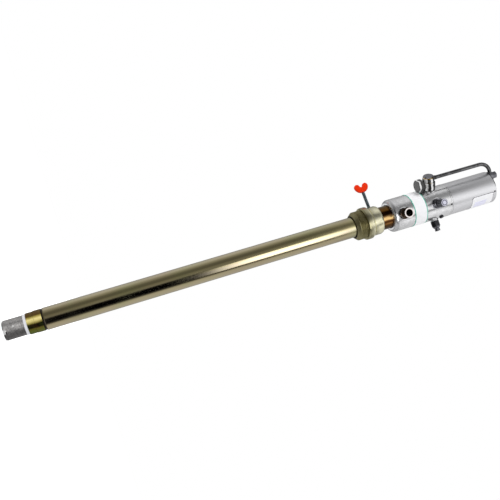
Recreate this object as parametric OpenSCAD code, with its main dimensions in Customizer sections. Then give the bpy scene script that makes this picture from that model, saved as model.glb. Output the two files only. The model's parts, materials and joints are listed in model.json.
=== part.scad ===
// Pneumatic drum pump, in millimetres.
// Z runs up the pump's axis. The origin is the centre of the bung adapter's seat on the drum.
// Angles are measured about Z from +X. The fluid outlet and the exhaust face -Y.

/* [Suction tube] */
// Outside diameter of the suction tube
tube_od = 42.4; // [40:0.1:45]
// Wall thickness of the suction tube
tube_wall = 2.6; // [2:0.1:3]
// Immersion length, from the seat on the drum to the foot's end
immersion_length = 728; // [600:1:1200]
// Bevel on the lower end of the tube
tube_bevel = 0.9; // [0.4:0.1:1.5]

/* [Suction foot] */
// Outside diameter of the cast foot
foot_od = 37; // [36:0.5:42]
// Height of the cast foot
foot_h = 37.8; // [34:0.1:50]
// Rounding of the foot's lower edge
foot_round = 3.5; // [1:0.5:3.5]
// Diameter of the suction mouth in the foot
mouth_d = 27; // [26:0.5:29]
// Width of each notch in the foot's rim
notch_w = 9; // [8:0.5:14]
// Depth of each notch in the foot's rim
notch_depth = 6; // [5:0.5:11]
// Number of notches round the foot
notch_count = 4; // [3:1:5]
// Direction of the first notch
notch_angle = 275; // [0:1:359]
// Distance from the foot's end to the strainer pin's axis
strainer_pin_h = 19.5; // [17:0.5:20]
// Diameter of the strainer pin
strainer_pin_d = 4; // [3:0.5:5]
// Direction of the strainer pin
strainer_pin_angle = 252; // [0:1:359]
// Thickness of the strainer plate
strainer_t = 1.5; // [1:0.25:2]
// Diameter of the holes in the strainer plate
strainer_hole_d = 3; // [2:0.25:3.25]
// Distance between the holes in the strainer plate
strainer_pitch = 4.6; // [4.5:0.1:5]
// Thickness of the white gasket above the foot
foot_gasket_h = 5.3; // [3:0.1:8]
// Outside diameter of the white gasket
foot_gasket_od = 38.6; // [37:0.2:42]

/* [Lower housing] */
// Diameter of the lower housing beside the gasket
housing_lower_d = 40.2; // [39:0.1:42]
// Diameter of the lower housing beside the tube
housing_upper_d = 41.6; // [40:0.1:43]
// Height of the housing's narrower lower band
housing_lower_h = 13; // [8:0.5:18]
// Height of the housing that shows below the tube
housing_h = 30.2; // [26:0.1:36]
// Height of the groove between the housing and the tube
housing_groove_h = 1.5; // [0.5:0.25:2.5]
// Length of the housing's thread inside the tube
housing_spigot_h = 22; // [20:1:30]
// Diameter of the foot's thread in the housing
foot_thread_d = 31; // [30:0.5:32]
// Length of the foot's thread in the housing
foot_thread_h = 13.5; // [10:0.5:16]

/* [Check valves] */
// Diameter of the foot valve's ball
foot_ball_d = 19; // [17:0.5:20]
// Bore of the foot valve's seat
foot_seat_bore = 14; // [11:0.5:15]
// Thickness of the foot valve's seat
foot_seat_h = 5; // [3:0.5:6]
// Diameter of the foot valve's chamber
foot_chamber_d = 26; // [24:0.5:27]
// Lift of the foot valve's ball
foot_ball_lift = 6; // [3:0.5:7]
// Diameter of the pin that stops the foot valve's ball
stop_pin_d = 4; // [3:0.5:5]
// Diameter of the pump piston's ball
piston_ball_d = 12.7; // [11:0.1:14]
// Bore of the pump piston's seat
piston_seat_bore = 9; // [7:0.5:9.5]
// Lift of the pump piston's ball
piston_ball_lift = 4; // [2:0.5:5]

/* [Pump section] */
// Bore of the pump liner
pump_bore = 30; // [28:0.5:32]
// Length of the pump piston
pump_piston_h = 34; // [32:1:45]
// Rest gap between the housing and the pump piston
pump_rest_gap = 8; // [4:1:15]
// Diameter of the pump rod
pump_rod_d = 12; // [10:0.5:14]
// Width of the pump piston's seals
pump_seal_h = 4; // [3:0.5:5]
// Outside diameter of the rod coupling
coupling_od = 22; // [20:1:28]
// Length of the rod coupling
coupling_h = 34; // [28:1:40]
// Height of the rod coupling's foot above the seat when the piston is down
coupling_z = -25; // [-60:1:-20]

/* [Bung adapter] */
// Outside diameter of the drum thread
bung_thread_d = 59.6; // [58:0.1:62]
// Length of the drum thread at full diameter
bung_thread_h = 16.5; // [12:0.5:24]
// Height of the bevel below the drum thread
bung_bevel_h = 6.5; // [4:0.5:6.5]
// Diameter of the adapter's flange
flange_d = 67.5; // [65:0.5:80]
// Height of the flange
flange_h = 15.5; // [12:0.5:20]
// Diameter of the adapter above the flange
adapter_neck_d = 60; // [57:0.5:62]
// Height of the adapter above the seat
adapter_h = 37; // [34:0.5:42]
// Wall thickness of the bush in the adapter
bush_wall = 2.75; // [2:0.25:3.5]
// Length of the bush in the adapter
bush_h = 30; // [20:1:32]

/* [Lock screw] */
// Diameter of the lock screw's stud
stud_d = 7; // [5:0.5:8]
// Height of the lock screw above the seat
lock_z = 27.3; // [24:0.1:28]
// Direction of the lock screw
lock_angle = 165; // [0:1:359]
// Distance from the pump's axis to the outer end of the stud
stud_end_r = 72; // [62:0.5:90]
// Distance between the wing's two lobes
wing_span = 20.5; // [16:0.5:28]
// Radius of the wing's lobes
wing_lobe_r = 5; // [4.5:0.1:6]
// How far the lobes stand out past the wing's hub
wing_rise = 8; // [5:0.5:12]
// Thickness of the wing
wing_t = 6; // [4:0.5:8]

/* [Collar] */
// Outside diameter of the collar
collar_od = 48.5; // [47.5:0.1:49.5]
// Height of the collar that shows above the adapter
collar_show = 22.4; // [16:0.1:26]
// Depth of the collar in the motor body's recess
collar_inset = 6.3; // [6.3:0.1:8]
// Diameter of the collar's upper thread
collar_thread_d = 43; // [42:0.5:44]
// Length of the collar's upper thread
collar_thread_h = 5.5; // [5:0.5:8]
// Thickness of the gasket above the collar
collar_gasket_h = 1.5; // [1:0.5:2]
// Depth of the tube's socket in the collar
tube_socket_h = 24.7; // [14:0.1:25]

/* [Motor body] */
// Outside diameter of the motor body
body_od = 69; // [67:0.1:72]
// Height of the motor body
body_h = 136.3; // [136.3:0.1:146]
// Radial depth of the rounding at the body's lower edge
body_round_r = 6.5; // [4:0.5:7]
// Height of the rounding at the body's lower edge
body_round_h = 8; // [5:0.5:10]
// Bore of the fluid chamber
chamber_d = 34; // [30:0.5:35]
// Height of the fluid chamber
chamber_h = 25; // [24:0.5:30]
// Diameter of the rod gland's bore
gland_bore = 28; // [26:0.5:30]
// Height of the rod gland's bore
gland_h = 20; // [16:0.5:20]
// Depth of the socket that holds the air cylinder
socket_depth = 15; // [10:0.5:15]
// Height of the outlet above the body's lower face
outlet_h = 20.3; // [20:0.1:23]
// Height of the air ports above the body's lower face
port_h = 98.3; // [97.5:0.1:101]
// Height of the drain slot above the body's lower face
slot_h = 3.5; // [3:0.1:8]
// Direction of the drain slot
slot_angle = 254; // [0:1:359]

/* [Air motor] */
// Stroke of the air piston
stroke = 75; // [50:1:110]
// Outside diameter of the air cylinder
cylinder_od = 68; // [66:0.1:74]
// Bore of the air cylinder
cylinder_bore = 60; // [56:0.5:61]
// Diameter of the cylinder's thread in the body
cylinder_thread_d = 63; // [62:0.1:64]
// Height of the cylinder cap
cap_h = 14; // [12:0.5:20]
// Height of the air piston
air_piston_h = 16; // [12:0.5:24]
// Rest gap under the air piston
air_rest_gap = 3; // [2:0.5:6]
// Gap left over the piston at the top of its stroke
air_top_gap = 4.5; // [2:0.5:8]
// Diameter of the piston rod
piston_rod_d = 16; // [14:0.5:17]
// Diameter of the rod's upper thread
rod_thread_d = 12; // [10:0.5:13]
// Height of the piston's nut
piston_nut_h = 8; // [6:0.5:10]
// Width across the flats of the piston's nut
piston_nut_af = 19; // [18:0.5:22]

/* [Air valve] */
// Diameter of the valve liner
valve_liner_d = 18; // [17:0.5:18]
// Diameter of the valve's spool
spool_d = 12; // [10:0.5:12]
// Length of the spool
spool_h = 35; // [32:0.5:36]
// Travel of the spool
spool_travel = 6; // [4:0.5:6]
// Distance from the pump's axis to the valve's axis
valve_r = 19.5; // [19:0.5:20]
// Height of the plug over the valve
valve_plug_h = 5; // [4:0.5:6]

/* [Outlet] */
// Direction of the fluid outlet
outlet_angle = 270; // [250:1:290]
// Outside diameter of the outlet's thread
outlet_thread_d = 20.96; // [18:0.01:22]
// Bore of the outlet
outlet_bore = 13.5; // [10:0.5:14]
// Width across the flats of the outlet's hexagon
outlet_af = 22; // [22:0.5:24]
// Thickness of the outlet's hexagon
outlet_hex_h = 8; // [6:0.5:10]
// How far the outlet's end stands out past the motor body
outlet_reach = 24; // [20:0.5:45]
// How far the outlet's boss stands out past the motor body
outlet_boss_h = 1.5; // [0.5:0.5:3.5]

/* [Exhaust silencer] */
// Direction of the exhaust
exhaust_angle = 270; // [262:1:278]
// Width across the flats of the silencer's hexagon
silencer_af = 19; // [17:0.5:22]
// Thickness of the silencer's hexagon
silencer_hex_h = 9; // [6:0.5:12]
// Diameter of the silencer's cap
silencer_cap_d = 15.5; // [12:0.5:18]
// How far the silencer's end stands out past the motor body
silencer_reach = 30.5; // [20:0.5:45]

/* [Air inlet] */
// Direction of the air inlet
inlet_angle = 350; // [340:1:359]
// Width across the flats of the inlet's hexagon
inlet_af = 17; // [17:0.5:19]
// Thickness of the inlet's hexagon
inlet_hex_h = 12; // [8:0.5:16]
// Diameter of the inlet nipple's end
nipple_tip_d = 11; // [9:0.5:12]
// Length of the inlet nipple's straight end
nipple_tip_h = 5; // [4:0.5:8]
// How far the inlet nipple's end stands out past the motor body
inlet_reach = 24.8; // [22:0.1:45]

/* [Transfer pipe] */
// Direction of the transfer pipe
transfer_angle = 205; // [195:1:215]
// Outside diameter of the transfer pipe
pipe_d = 8; // [6:0.5:8]
// Wall thickness of the transfer pipe
pipe_wall = 1; // [0.5:0.1:1.5]
// Bend radius of the transfer pipe
pipe_bend_r = 28.3; // [24:0.1:29]
// Diameter of the transfer adapter
transfer_od = 28; // [27:0.5:29]
// Height of the transfer adapter
transfer_h = 16.8; // [16:0.2:20]
// Width across the flats of the side plug
side_plug_af = 24; // [20:0.5:24]
// Thickness of the side plug's hexagon
side_plug_h = 12.5; // [8:0.5:14]
// Diameter of the lower banjo eye
eye_od = 25; // [22:0.5:26]
// Height of the lower banjo eye
eye_h = 8; // [7:0.5:10]
// Width across the flats of the lower banjo bolt
bolt_af = 19; // [17:0.5:19]
// Thickness of the lower banjo bolt's head
bolt_head_h = 3.6; // [3:0.2:6]
// Diameter of the lower banjo bolt
bolt_d = 10; // [8:0.5:11]
// Distance from the pump's axis to the cap's port
cap_port_r = 24.5; // [23:0.5:25]
// Diameter of the cap's banjo eye
cap_eye_od = 20; // [18:0.5:21]
// Height of the cap's banjo eye
cap_eye_h = 9.5; // [9.5:0.5:12]
// Diameter of the cap's banjo bolt
cap_bolt_d = 8; // [7:0.5:9]
// Width across the flats of the cap's banjo bolt
cap_bolt_af = 14; // [14:0.5:17]
// Thickness of the cap's banjo bolt's head
cap_bolt_head_h = 8; // [5:0.5:10]

/* [Small fasteners] */
// Direction of the set screws
set_screw_angle = 288; // [280:1:296]
// Diameter of the set screws
set_screw_d = 4; // [3:0.5:5]
// Direction of the gallery plug
gallery_angle = 331; // [326:1:336]
// Diameter of the gallery plug's head
gallery_plug_d = 9; // [8:0.5:10]

/* [Labels] */
// Height of the band label
band_h = 29; // [15:0.1:32]
// Distance from the body's lower face to the band label
band_z = 45.7; // [43:0.1:51]
// Thickness of both labels
label_t = 0.3; // [0.2:0.05:0.6]
// Height of the cylinder's label
plate_h = 52; // [20:0.5:60]
// Angle that the cylinder's label covers
plate_sweep = 112; // [40:1:150]
// Distance from the cylinder's top to the label
plate_top_gap = 8.9; // [8:0.1:20]

/* [Clearances] */
// Radial gap between fixed pieces that fit in each other
fit_gap = 0.05; // [0.03:0.01:0.1]
// Radial gap of a running fit
run_gap = 0.05; // [0.03:0.01:0.1]
// Gap between a moving piece and the stop that it rests on
stop_gap = 0.3; // [0.2:0.05:0.5]
// Radial gap round a piece that passes freely
free_gap = 0.4; // [0.3:0.05:0.8]

/* [Hidden] */
$fn = 96;
// Overrun of each cut past the face that it opens
cut = 1;
// Small bevel on machined edges
edge = 0.8;

// Heights along the axis, from the foot up
foot_z = -immersion_length;
foot_gasket_z = foot_z + foot_h;
housing_z = foot_gasket_z + foot_gasket_h;
tube_z = housing_z + housing_h;
foot_seat_z = foot_gasket_z + foot_gasket_h + foot_thread_h;
foot_chamber_z = foot_seat_z + foot_seat_h;
foot_ball_z = foot_chamber_z + seat_height(foot_ball_d, foot_seat_bore) + stop_gap;
stop_pin_z = foot_ball_z + foot_ball_d / 2 + foot_ball_lift + stop_gap + stop_pin_d / 2;
liner_z = tube_z + housing_spigot_h;
pump_piston_z = liner_z + pump_rest_gap;
liner_h = pump_rest_gap + pump_piston_h + stroke + 12;
collar_z = adapter_h + stop_gap;
body_z = collar_z + collar_show;
collar_shoulder_z = body_z + collar_inset;
collar_gasket_z = collar_shoulder_z + collar_thread_h;
chamber_z = collar_gasket_z + collar_gasket_h;
tube_top_z = collar_z + tube_socket_h;
gland_z = chamber_z + chamber_h;
gland_top_z = gland_z + gland_h;
outlet_z = body_z + outlet_h;
port_z = body_z + port_h;
body_top_z = body_z + body_h;
floor_z = body_top_z - socket_depth;
air_piston_z = floor_z + air_rest_gap;
piston_nut_z = air_piston_z + air_piston_h;
rod_top_z = piston_nut_z + piston_nut_h + 2;
cap_z = rod_top_z + stroke + air_top_gap;
top_z = cap_z + cap_h;

// Diameters that follow from other pieces
tube_id = tube_od - 2 * tube_wall;
spigot_d = tube_id - 2 * fit_gap;
bush_id = tube_od + 2 * run_gap;
bush_od = bush_id + 2 * bush_wall;
collar_bore = tube_id - 2;
recess_d = collar_od + 2;
port_d = 13.2;
body_r = body_od / 2;
cap_d = cylinder_thread_d;

// The air valve's places
valve_plug_z = floor_z - valve_plug_h;
valve_liner_h = spool_h + spool_travel + 2 * stop_gap;
liner_wall_z = valve_plug_z - valve_liner_h;
spool_z = liner_wall_z + stop_gap;

// Radial places of the fittings
outlet_boss_r = body_r + outlet_boss_h;
outlet_end_r = body_r + outlet_reach;
silencer_end_r = body_r + silencer_reach;
inlet_end_r = body_r + inlet_reach;
port_boss_r = body_r + 0.6;
washer_t = 1.5;
seal_washer_t = 1;
transfer_foot_r = port_boss_r + washer_t;
transfer_top_r = transfer_foot_r + transfer_h;
eye_r = transfer_top_r + seal_washer_t;
eye_top_r = eye_r + eye_h;
pipe_r = eye_r + eye_h / 2;
bolt_head_r = eye_top_r + seal_washer_t;
side_plug_r = transfer_foot_r + 12.5;
side_plug_top_z = port_z - transfer_od / 2 - 2;
inlet_boss_r = body_r + 2.7;
silencer_foot_r = port_boss_r + washer_t;
silencer_cap_r = silencer_foot_r + silencer_hex_h;
gallery_z = floor_z - 10.4;
gallery_seat_r = body_r + 0.02;
body_screw_z = body_top_z - 4.2;
cap_screw_z = top_z - 5.1;

// The cap's banjo and the transfer pipe's bend
cap_eye_z = top_z + seal_washer_t;
cap_bolt_head_z = cap_eye_z + cap_eye_h + seal_washer_t;
pipe_socket_h = 2;
pipe_end_r = cap_port_r + cap_eye_od / 2 - pipe_socket_h;
bend_r = pipe_r - pipe_bend_r;
pipe_bend = acos((pipe_end_r - bend_r) / pipe_bend_r);
bend_z = cap_eye_z + cap_eye_h / 2 - pipe_bend_r * sin(pipe_bend);
sleeve_d = pipe_d + 1;
sleeve_z = port_z + eye_od / 2 - 1.4;
sleeve_h = 6;
pipe_z = sleeve_z + 1;

// Height of a ball's centre over the round edge of the seat that it rests on
function seat_height(ball_d, bore) = sqrt(pow(ball_d / 2, 2) - pow(bore / 2, 2));

// Points of a quarter of an ellipse round a centre, from one angle to another
function arc(centre, rx, ry, from, to, steps = 8) = [
    for (i = [0 : steps]) centre + [rx * cos(from + (to - from) * i / steps), ry * sin(from + (to - from) * i / steps)]
];

// Puts what it holds on a port: Z then runs outwards, and X runs down the pump
module at_port(angle, z, r = 0) {
    rotate([0, 0, angle])
        translate([r, 0, z])
            rotate([0, 90, 0])
                children();
}

// A round tube that stands on Z = 0
module ring(od, id, h) {
    difference() {
        cylinder(d = od, h = h);
        translate([0, 0, -cut])
            cylinder(d = id, h = h + 2 * cut);
    }
}

// A round bar with a bevel at both of its ends
module bevelled(d, h, bevel) {
    rotate_extrude()
        polygon([[0, 0], [d / 2 - bevel, 0], [d / 2, bevel], [d / 2, h - bevel], [d / 2 - bevel, h], [0, h]]);
}

// A hexagon with turned corners, with the given width across its flats
module hexagon(af, h, bevel = 1) {
    corner = af / cos(30);
    intersection() {
        cylinder(d = corner, h = h, $fn = 6);
        rotate_extrude()
            polygon([
                [0, 0], [af / 2, 0], [corner / 2, bevel * 0.6], [corner / 2, h - bevel * 0.6], [af / 2, h], [0, h]
            ]);
    }
}

// A ring of round section that lies at the given height
module o_ring(od, section, z) {
    translate([0, 0, z])
        rotate_extrude()
            translate([od / 2 - section / 2, 0])
                circle(d = section, $fn = 32);
}

// The cast foot: a notched rim, the mouth with the strainer's seat, and the thread into the housing
module suction_foot() {
    mouth_top = strainer_pin_h + strainer_pin_d / 2 + strainer_t;
    thread_d = foot_thread_d - 2 * fit_gap;
    passage = 21;
    thread_top = foot_h + foot_gasket_h + foot_thread_h;
    color([0.52, 0.52, 0.52])
        translate([0, 0, foot_z])
            difference() {
                rotate_extrude()
                    polygon(concat(
                        [[0, 0]],
                        arc([foot_od / 2 - foot_round, foot_round], foot_round, foot_round, -90, 0),
                        [
                            [foot_od / 2, foot_h - 0.6],
                            [foot_od / 2 - 0.6, foot_h],
                            [thread_d / 2, foot_h],
                            [thread_d / 2, thread_top - edge],
                            [thread_d / 2 - edge, thread_top],
                            [0, thread_top]
                        ]
                    ));
                translate([0, 0, -cut])
                    cylinder(d = mouth_d, h = mouth_top + cut);
                cylinder(d = passage, h = thread_top + cut);
                for (i = [0 : notch_count - 1])
                    rotate([0, 0, notch_angle + i * 360 / notch_count])
                        notch_cut();
                rotate([0, 0, strainer_pin_angle])
                    translate([-foot_od, 0, strainer_pin_h])
                        rotate([0, 90, 0])
                            cylinder(d = strainer_pin_d + 2 * fit_gap, h = 2 * foot_od);
            }
}

// One notch through the foot's rim, with rounded inner corners
module notch_cut() {
    corner = 3;
    rotate([90, 0, 90])
        linear_extrude(height = foot_od)
            union() {
                translate([-notch_w / 2, -cut])
                    square([notch_w, notch_depth - corner + cut]);
                translate([-notch_w / 2 + corner, 0])
                    square([notch_w - 2 * corner, notch_depth]);
                for (side = [-1, 1])
                    translate([side * (notch_w / 2 - corner), notch_depth - corner])
                        circle(r = corner);
            }
}

// The perforated plate across the foot's mouth, with its holes in a triangular pattern
module suction_strainer() {
    plate_d = mouth_d - 2 * fit_gap;
    rings = 3;
    color([0.75, 0.75, 0.73])
        translate([0, 0, foot_z + strainer_pin_h + strainer_pin_d / 2])
            difference() {
                cylinder(d = plate_d, h = strainer_t);
                for (i = [-rings : rings], j = [-rings : rings])
                    if (abs(i + j) <= rings && strainer_reach(i, j) < plate_d / 2 - strainer_hole_d / 2 - 0.6)
                        translate([(i + j / 2) * strainer_pitch, j * strainer_pitch * sin(60), -cut])
                            cylinder(d = strainer_hole_d, h = strainer_t + 2 * cut);
            }
}

// Distance of a strainer hole from the axis
function strainer_reach(i, j) = strainer_pitch * norm([i + j / 2, j * sin(60)]);

// The pin across the foot that holds the strainer up against its seat
module strainer_pin() {
    pin_l = foot_od - 0.6;
    color([0.8, 0.8, 0.8])
        rotate([0, 0, strainer_pin_angle])
            translate([-pin_l / 2, 0, foot_z + strainer_pin_h])
                rotate([0, 90, 0])
                    bevelled(strainer_pin_d, pin_l, 0.4);
}

// The white gasket between the foot and the lower housing
module foot_gasket() {
    color([0.93, 0.93, 0.92])
        translate([0, 0, foot_gasket_z])
            difference() {
                bevelled(foot_gasket_od, foot_gasket_h, 0.5);
                translate([0, 0, -cut])
                    cylinder(d = foot_thread_d, h = foot_gasket_h + 2 * cut);
            }
}

// The lower housing: two bands, the groove, the thread into the tube and the ball chamber
module lower_housing() {
    groove_z = housing_h - housing_groove_h;
    top = housing_h + housing_spigot_h;
    seat_top = foot_thread_h + foot_seat_h;
    color([0.72, 0.6, 0.22])
        translate([0, 0, housing_z])
            difference() {
                rotate_extrude()
                    polygon([
                        [0, 0],
                        [housing_lower_d / 2 - 0.5, 0],
                        [housing_lower_d / 2, 0.5],
                        [housing_lower_d / 2, housing_lower_h],
                        [housing_upper_d / 2, housing_lower_h + 1],
                        [housing_upper_d / 2, groove_z],
                        [spigot_d / 2 + 0.6, groove_z],
                        [spigot_d / 2 + 0.6, housing_h],
                        [spigot_d / 2, housing_h],
                        [spigot_d / 2, top],
                        [0, top]
                    ]);
                translate([0, 0, -cut])
                    cylinder(d = foot_thread_d, h = seat_top + cut);
                cylinder(d = foot_chamber_d, h = top + cut);
                translate([-tube_od, 0, stop_pin_z - housing_z])
                    rotate([0, 90, 0])
                        cylinder(d = stop_pin_d + 2 * fit_gap, h = 2 * tube_od);
            }
}

// The hardened seat of the foot valve
module foot_valve_seat() {
    color([0.6, 0.6, 0.62])
        translate([0, 0, foot_seat_z])
            difference() {
                ring(foot_thread_d - 2 * fit_gap, foot_seat_bore, foot_seat_h);
                translate([0, 0, -cut])
                    cylinder(d1 = foot_seat_bore + 6, d2 = foot_seat_bore, h = foot_seat_h / 2 + cut);
            }
}

// The foot valve's ball, held just off its seat
module foot_valve_ball() {
    color([0.85, 0.85, 0.87])
        translate([0, 0, foot_ball_z])
            sphere(d = foot_ball_d);
}

// The pin that stops the foot valve's ball at its full lift
module ball_stop_pin() {
    pin_l = spigot_d - 0.8;
    color([0.8, 0.8, 0.8])
        translate([-pin_l / 2, 0, stop_pin_z])
            rotate([0, 90, 0])
                cylinder(d = stop_pin_d, h = pin_l);
}

// The long suction tube
module suction_tube() {
    h = tube_top_z - tube_z;
    color([0.78, 0.74, 0.6])
        translate([0, 0, tube_z])
            rotate_extrude()
                polygon([
                    [tube_id / 2, 0],
                    [tube_od / 2 - tube_bevel, 0],
                    [tube_od / 2, tube_bevel * 2],
                    [tube_od / 2, h],
                    [tube_id / 2, h]
                ]);
}

// The honed sleeve in which the pump piston runs
module pump_liner() {
    color([0.7, 0.7, 0.72])
        translate([0, 0, liner_z])
            ring(spigot_d, pump_bore, liner_h);
}

// The pump piston: a hollow body with two seal grooves, a ball chamber and four windows
module pump_piston() {
    d = pump_bore - 1;
    neck_d = pump_rod_d + 8;
    land_h = 2 * pump_seal_h + 6;
    chamber = piston_ball_d + 2.5;
    chamber_top = pump_seat_h + seat_height(piston_ball_d, piston_seat_bore) + stop_gap
        + piston_ball_d / 2 + piston_ball_lift + stop_gap;
    color([0.75, 0.66, 0.4])
        translate([0, 0, pump_piston_z])
            difference() {
                union() {
                    cylinder(d = d, h = land_h);
                    cylinder(d = neck_d, h = pump_piston_h);
                }
                for (i = [0, 1])
                    translate([0, 0, pump_seal_z(i)])
                        ring(d + 2 * cut, pump_seal_id, pump_seal_h);
                translate([0, 0, -cut])
                    cylinder(d = pump_seat_d + 2 * fit_gap, h = pump_seat_h + cut);
                cylinder(d = chamber, h = chamber_top);
                translate([0, 0, pump_piston_h - rod_joint_h])
                    cylinder(d = pump_rod_end_d + 2 * fit_gap, h = rod_joint_h + cut);
                for (a = [0 : 90 : 270])
                    rotate([0, 0, a])
                        translate([0, 0, land_h + 2.6])
                            rotate([0, 90, 0])
                                cylinder(d = 4.6, h = neck_d);
            }
}
pump_seat_h = 4;
pump_seat_d = piston_ball_d + 5;
pump_seal_id = pump_bore - 6;
pump_rod_end_d = pump_rod_d - 3;
rod_joint_h = 8;

// Height of a pump piston seal over the piston's foot
function pump_seal_z(i) = 2 + i * (pump_seal_h + 2);

// The two seals of the pump piston
module pump_piston_seals() {
    color([0.95, 0.95, 0.93])
        for (i = [0, 1])
            translate([0, 0, pump_piston_z + pump_seal_z(i)])
                ring(pump_bore - 2 * run_gap, pump_seal_id, pump_seal_h);
}

// The screwed seat under the pump piston's ball
module pump_piston_seat() {
    color([0.6, 0.6, 0.62])
        translate([0, 0, pump_piston_z])
            ring(pump_seat_d, piston_seat_bore, pump_seat_h);
}

// The pump piston's ball, held just off its seat
module pump_piston_ball() {
    z = pump_piston_z + pump_seat_h + seat_height(piston_ball_d, piston_seat_bore) + stop_gap;
    color([0.85, 0.85, 0.87])
        translate([0, 0, z])
            sphere(d = piston_ball_d);
}

// The long rod from the pump piston to the coupling, turned down at both of its ends
module pump_rod() {
    foot = pump_piston_z + pump_piston_h;
    joint_top = coupling_z + coupling_h / 2 - 0.5;
    color([0.72, 0.72, 0.74])
        union() {
            translate([0, 0, foot - rod_joint_h])
                cylinder(d = pump_rod_end_d, h = rod_joint_h);
            translate([0, 0, foot])
                cylinder(d = pump_rod_d, h = coupling_z - foot);
            translate([0, 0, coupling_z])
                cylinder(d = pump_rod_end_d, h = joint_top - coupling_z);
        }
}

// The sleeve that joins the pump rod to the piston rod, with a flat for a spanner on each side
module rod_coupling() {
    flat_af = coupling_od - 3;
    flat_h = 9;
    color([0.55, 0.55, 0.57])
        translate([0, 0, coupling_z])
            difference() {
                bevelled(coupling_od, coupling_h, 1);
                translate([0, 0, -cut])
                    cylinder(d = pump_rod_end_d + 2 * fit_gap, h = coupling_h + 2 * cut);
                translate([0, 0, coupling_h / 2])
                    cylinder(d = rod_thread_d + 2 * fit_gap, h = coupling_h);
                for (side = [0, 180])
                    rotate([0, 0, side])
                        translate([flat_af / 2, -coupling_od / 2, (coupling_h - flat_h) / 2])
                            cube([coupling_od, coupling_od, flat_h]);
            }
}

// The cast adapter: drum thread, rounded flange and neck, bored for the bush and the tube
module bung_adapter() {
    thread_r = bung_thread_d / 2;
    lip_r = bush_od / 2 + run_gap + 0.4;
    flange_r = flange_d / 2;
    neck_r = adapter_neck_d / 2;
    foot = -bung_thread_h - bung_bevel_h;
    color([0.52, 0.5, 0.25])
        difference() {
            rotate_extrude()
                polygon(concat(
                    [[0, foot], [lip_r, foot], [thread_r, -bung_thread_h], [thread_r, 0], [flange_r - 2.5, 0]],
                    arc([flange_r - 2.5, 3], 2.5, 3, -90, 0, 5),
                    arc([flange_r - 2.5, flange_h - 4.5], 2.5, 3.2, 0, 80, 5),
                    [
                        [neck_r, flange_h],
                        [neck_r, adapter_h - 4],
                        [neck_r - 1.4, adapter_h - 0.6],
                        [neck_r - 2.2, adapter_h],
                        [0, adapter_h]
                    ]
                ));
            translate([0, 0, foot - cut])
                cylinder(d = bush_od + 2 * run_gap, h = bush_h + 2 + cut);
            translate([0, 0, foot])
                cylinder(d = tube_od + 2 * free_gap, h = adapter_h - foot + cut);
            at_port(lock_angle, lock_z, tube_od / 2 - 2)
                cylinder(d = stud_d + 2 * run_gap, h = flange_d);
        }
}

// The plastic bush in which the tube slides and swivels
module adapter_bush() {
    color([0.16, 0.16, 0.16])
        translate([0, 0, -bung_thread_h - bung_bevel_h + 2 - stop_gap])
            ring(bush_od, bush_id, bush_h);
}

// The lock screw's threaded stud, with a turned tip that stops just short of the tube
module lock_stud() {
    tip_r = tube_od / 2 + stop_gap;
    tip_h = 3;
    color([0.55, 0.6, 0.65])
        at_port(lock_angle, lock_z)
            rotate_extrude()
                polygon([
                    [0, tip_r],
                    [stud_d / 2 - 1, tip_r],
                    [stud_d / 2 - 1, tip_r + tip_h - 0.6],
                    [stud_d / 2, tip_r + tip_h],
                    [stud_d / 2, stud_end_r],
                    [0, stud_end_r]
                ]);
}

// The wing on the stud: a hub and two round lobes on slanted arms
module wing_head() {
    hub_r = wing_lobe_r + 0.4;
    hub_foot = stud_end_r - 7.6;
    centre = stud_end_r - 1;
    arm = norm([wing_span / 2, wing_rise]);
    lean = atan2(wing_rise, wing_span / 2);
    color([0.93, 0.23, 0.08])
        at_port(lock_angle, lock_z)
            difference() {
                union() {
                    translate([0, 0, hub_foot])
                        cylinder(d = 2 * hub_r, h = stud_end_r + 2.5 - hub_foot);
                    translate([0, wing_t / 2, centre])
                        rotate([90, 0, 0])
                            linear_extrude(height = wing_t)
                                for (side = [0, 1])
                                    mirror([side, 0])
                                        rotate([0, 0, lean])
                                            union() {
                                                translate([0, -wing_lobe_r])
                                                    square([arm, 2 * wing_lobe_r]);
                                                translate([arm, 0])
                                                    circle(r = wing_lobe_r);
                                            }
                }
                translate([0, 0, hub_foot - cut])
                    cylinder(d = stud_d + 2 * run_gap, h = stud_end_r + stop_gap - hub_foot + cut);
            }
}

// The collar that joins the tube to the motor body
module tube_collar() {
    h = collar_shoulder_z - collar_z;
    color([0.74, 0.52, 0.25])
        translate([0, 0, collar_z])
            difference() {
                rotate_extrude()
                    polygon([
                        [0, 0],
                        [collar_od / 2 - edge, 0],
                        [collar_od / 2, edge],
                        [collar_od / 2, h],
                        [collar_thread_d / 2, h],
                        [collar_thread_d / 2, h + collar_thread_h],
                        [0, h + collar_thread_h]
                    ]);
                translate([0, 0, -cut])
                    cylinder(d = tube_od + 2 * fit_gap, h = tube_socket_h + cut);
                cylinder(d = collar_bore, h = h + collar_thread_h + cut);
            }
}

// The gasket between the collar and the fluid chamber
module collar_gasket() {
    color([0.2, 0.2, 0.2])
        translate([0, 0, collar_gasket_z])
            ring(collar_thread_d, collar_bore, collar_gasket_h);
}

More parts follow.
